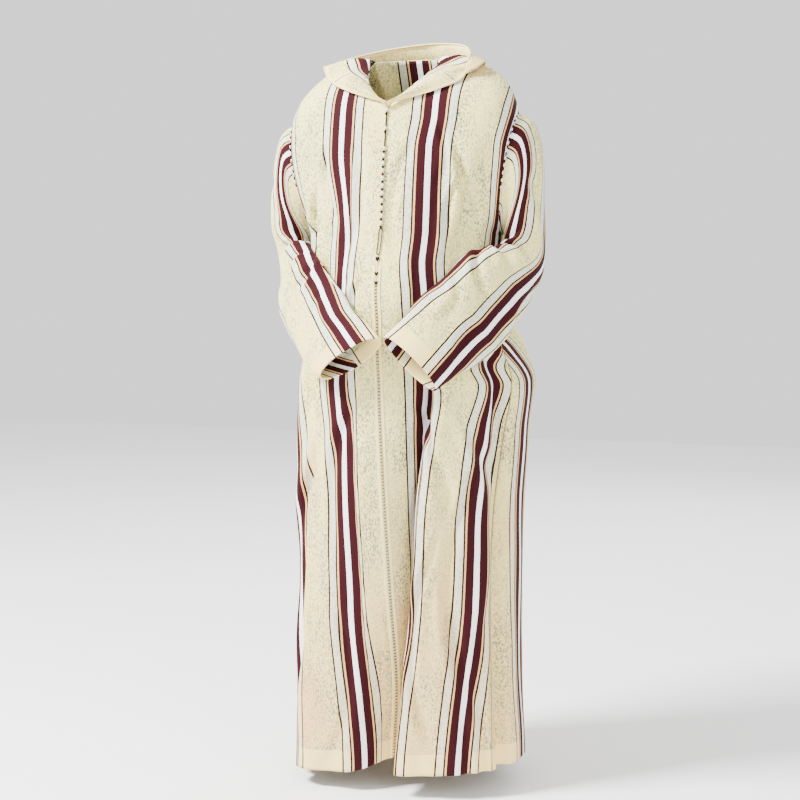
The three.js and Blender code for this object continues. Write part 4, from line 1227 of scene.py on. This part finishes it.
def long_round(half_wide, half_tall, steps):
    turn = TAU * np.arange(steps) / steps
    end = np.sign(np.sin(turn)) * (half_tall - half_wide) * (np.abs(np.sin(turn)) > 0.05)
    return np.stack([half_wide * np.cos(turn), half_wide * np.sin(turn) + end], -1)


LOOP_CORD = 0.62
LOOP_STRAIGHT = 21.5  # half the length of its straight stretch
LOOP_POINTS = 44
loop = Thread()
for half_wide, lift in ((3.4, SEAT + 0.2), (2.5, SEAT)):
    outline = long_round(half_wide, LOOP_STRAIGHT + half_wide, LOOP_POINTS)
    path, normal = on_centre(middle_height("braid_loop"), outline, lift)
    loop.tube(path, normal, LOOP_CORD, closed=True)
button_loop = loop.make("long_loop", dark_thread, "dark_thread")
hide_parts("braid_loop")

HEART = [(0, 2), (-1.4, 3.4), (-3.4, 3.2), (-3.6, 0.4), (0, -4.8), (3.6, 0.4), (3.4, 3.2), (1.4, 3.4)]
ARROW = [(0, -4), (4, 2), (2.6, 3.2), (0, 0), (-2.6, 3.2), (-4, 2)]
ARROW_CORD = 0.95
ARROW_LAYERS = [(0.9, 0), (0.6, 0.5), (0.28, 0.7)]  # size and height of the outlines inside each other
CORNER_SOFTENED = 0.15
arrows = Thread()
for number, outline in enumerate((HEART, ARROW, ARROW), 1):
    z = middle_height(f"arrow_knot_{number}")
    for size, rise in ARROW_LAYERS:
        corners = np.repeat(np.asarray(outline, float) * size, 3, 0)
        softened = mix(corners, np.roll(corners, 1, 0), CORNER_SOFTENED)
        path, normal = on_centre(z, softened, SEAT + rise)
        arrows.tube(path, normal, ARROW_CORD, closed=True)
arrow_knots = arrows.make("arrow_knots", dark_thread, "dark_thread")
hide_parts("arrow_knot_1", "arrow_knot_2", "arrow_knot_3")


# ---- seams, edges and stitches ----
# Along the hood's rim (share of its length), and from where to where up from the neck seam.
HOOD_TACKS = [(0.16, 0.5, 0.97), (0.84, 0.5, 0.97)]
TACK_POINTS, TACK_LIFT, TACK_RADIUS = 7, 0.4, 0.6
RIM_OUT, RIM_CORD = 0.7, 1.05
SIDE_PITCH, SIDE_LIFT, SIDE_RADIUS = 6.0, 0.15, 0.8
SHOULDER_SPAN = (0.22, 0.8)  # the share of the armhole that the stitches follow
SHOULDER_LIFTED = 1.0
SHOULDER_STITCH = (7.0, 0.9, 1.5)  # pitch, share of it that a stitch fills, radius


def hood_cords():
    cords = Thread()
    rim, before = hood.grid[-1], hood.grid[-2]
    out = unit(rim - before)
    for lift in (0.2, -CLOTH - 0.5):
        cords.tube(rim + out * RIM_OUT + hood.normals[-1] * lift, hood.normals[-1], RIM_CORD)
    return cords.make("hood_edge_cords", cream_thread, "braid")


def side_seams():
    seams = Thread()
    skirt = slice(FINE["chest"] + 2, None)
    for panel in (left, right):
        path, normal = panel.grid[skirt, -1], panel.normals[skirt, -1]
        points, directions = resample(path, normal, SIDE_PITCH)
        seams.tube(points + directions * SIDE_LIFT, directions, SIDE_RADIUS)
    seams.make("side_seams", olive_thread, "body_cloth")


def armhole_stitches():
    """Dotted stitches, dark and white in turn, over the upper half of each armhole."""
    pale, dark = Thread(), Thread()
    for panel in (arm_left, arm_right):
        count = panel.grid.shape[1]
        upper = slice(*(int(count * share) for share in SHOULDER_SPAN))
        normals = panel.normals[2, upper]
        path = panel.grid[1, upper] + normals * SHOULDER_LIFTED
        stitch_row([pale, dark], path, normals, *SHOULDER_STITCH)
    pale.make("armhole_stitches_white", white_thread, "white_thread")
    dark.make("armhole_stitches_dark", dark_thread, "dark_thread")


def tacks():
    """Short dark lines of stitching on both ends of the hood."""
    thread = Thread()
    count = hood.grid.shape[0]
    for column_share, low, high in HOOD_TACKS:
        column = round(column_share * (hood.grid.shape[1] - 1))
        rows = np.linspace(low * (count - 1), high * (count - 1), TACK_POINTS).astype(int)
        normal = hood.normals[rows, column]
        thread.tube(hood.grid[rows, column] + normal * TACK_LIFT, normal, TACK_RADIUS, 5)
    return thread.make("hood_tacks", grey_thread, "dark_thread")


edge_cords = hood_cords()
hood_lines = tacks()
side_seams()
armhole_stitches()


# ---- floor, light and camera ----
AIM = (-0.017, -0.006, -0.668)
CAMERA_TURN, CAMERA_RISE, CAMERA_AWAY = math.radians(19), math.radians(5), 3.2
FLOOR_Z = -1.425
FLOOR_HALF = 6
FLOOR_LIGHT, FLOOR_DARK = (0.88,) * 3, (0.84,) * 3
LENS, FILM = 72, 36
WORLD_STRENGTH = 1.35
# name | place | size | power
LIGHTS = [
    ("key", (-2.3, -2.0, 2.4), 1.1, 900),
    ("fill", (2.8, -2.2, 0.6), 2.6, 90),
    ("back_fill", (0.6, 3.4, 1.2), 2.6, 90),
]

floor_mesh = bpy.data.meshes.new("floor")
corners = [(x * FLOOR_HALF, y * FLOOR_HALF, FLOOR_Z) for x, y in ((-1, -1), (1, -1), (1, 1), (-1, 1))]
floor_mesh.from_pydata(corners, [], [(0, 1, 2, 3)])
floor = added("floor", floor_mesh)
pale = Nodes("pale_floor")
grain = pale.mix(pale.noise(pale.place(), 6.0), FLOOR_DARK, FLOOR_LIGHT)
floor_mesh.materials.append(pale.finish(grain, 0.9))


for name, place, size, power in LIGHTS:
    data = bpy.data.lights.new(name, "AREA")
    data.shape, data.size, data.energy = "SQUARE", size, power
    lamp = added(name, data)
    lamp.location = place
    away = np.array(place) - np.array(AIM)
    tilt = math.atan2(math.hypot(away[0], away[1]), away[2])
    lamp.rotation_euler = (tilt, 0, math.atan2(away[0], -away[1]))

world = bpy.data.worlds.new("studio")
world.use_nodes = True
background = world.node_tree.nodes["Background"]
background.inputs[0].default_value = (1, 1, 1, 1)
background.inputs[1].default_value = WORLD_STRENGTH
bpy.context.scene.world = world

lens = bpy.data.cameras.new("camera")
lens.lens, lens.sensor_width = LENS, FILM
camera = added("camera", lens)
flat_away = CAMERA_AWAY * math.cos(CAMERA_RISE)
camera.location = (AIM[0] + flat_away * math.sin(CAMERA_TURN), AIM[1] - flat_away * math.cos(CAMERA_TURN),
                   AIM[2] + CAMERA_AWAY * math.sin(CAMERA_RISE))
camera.rotation_euler = (math.pi / 2 - CAMERA_RISE, 0, CAMERA_TURN)
bpy.context.scene.camera = camera
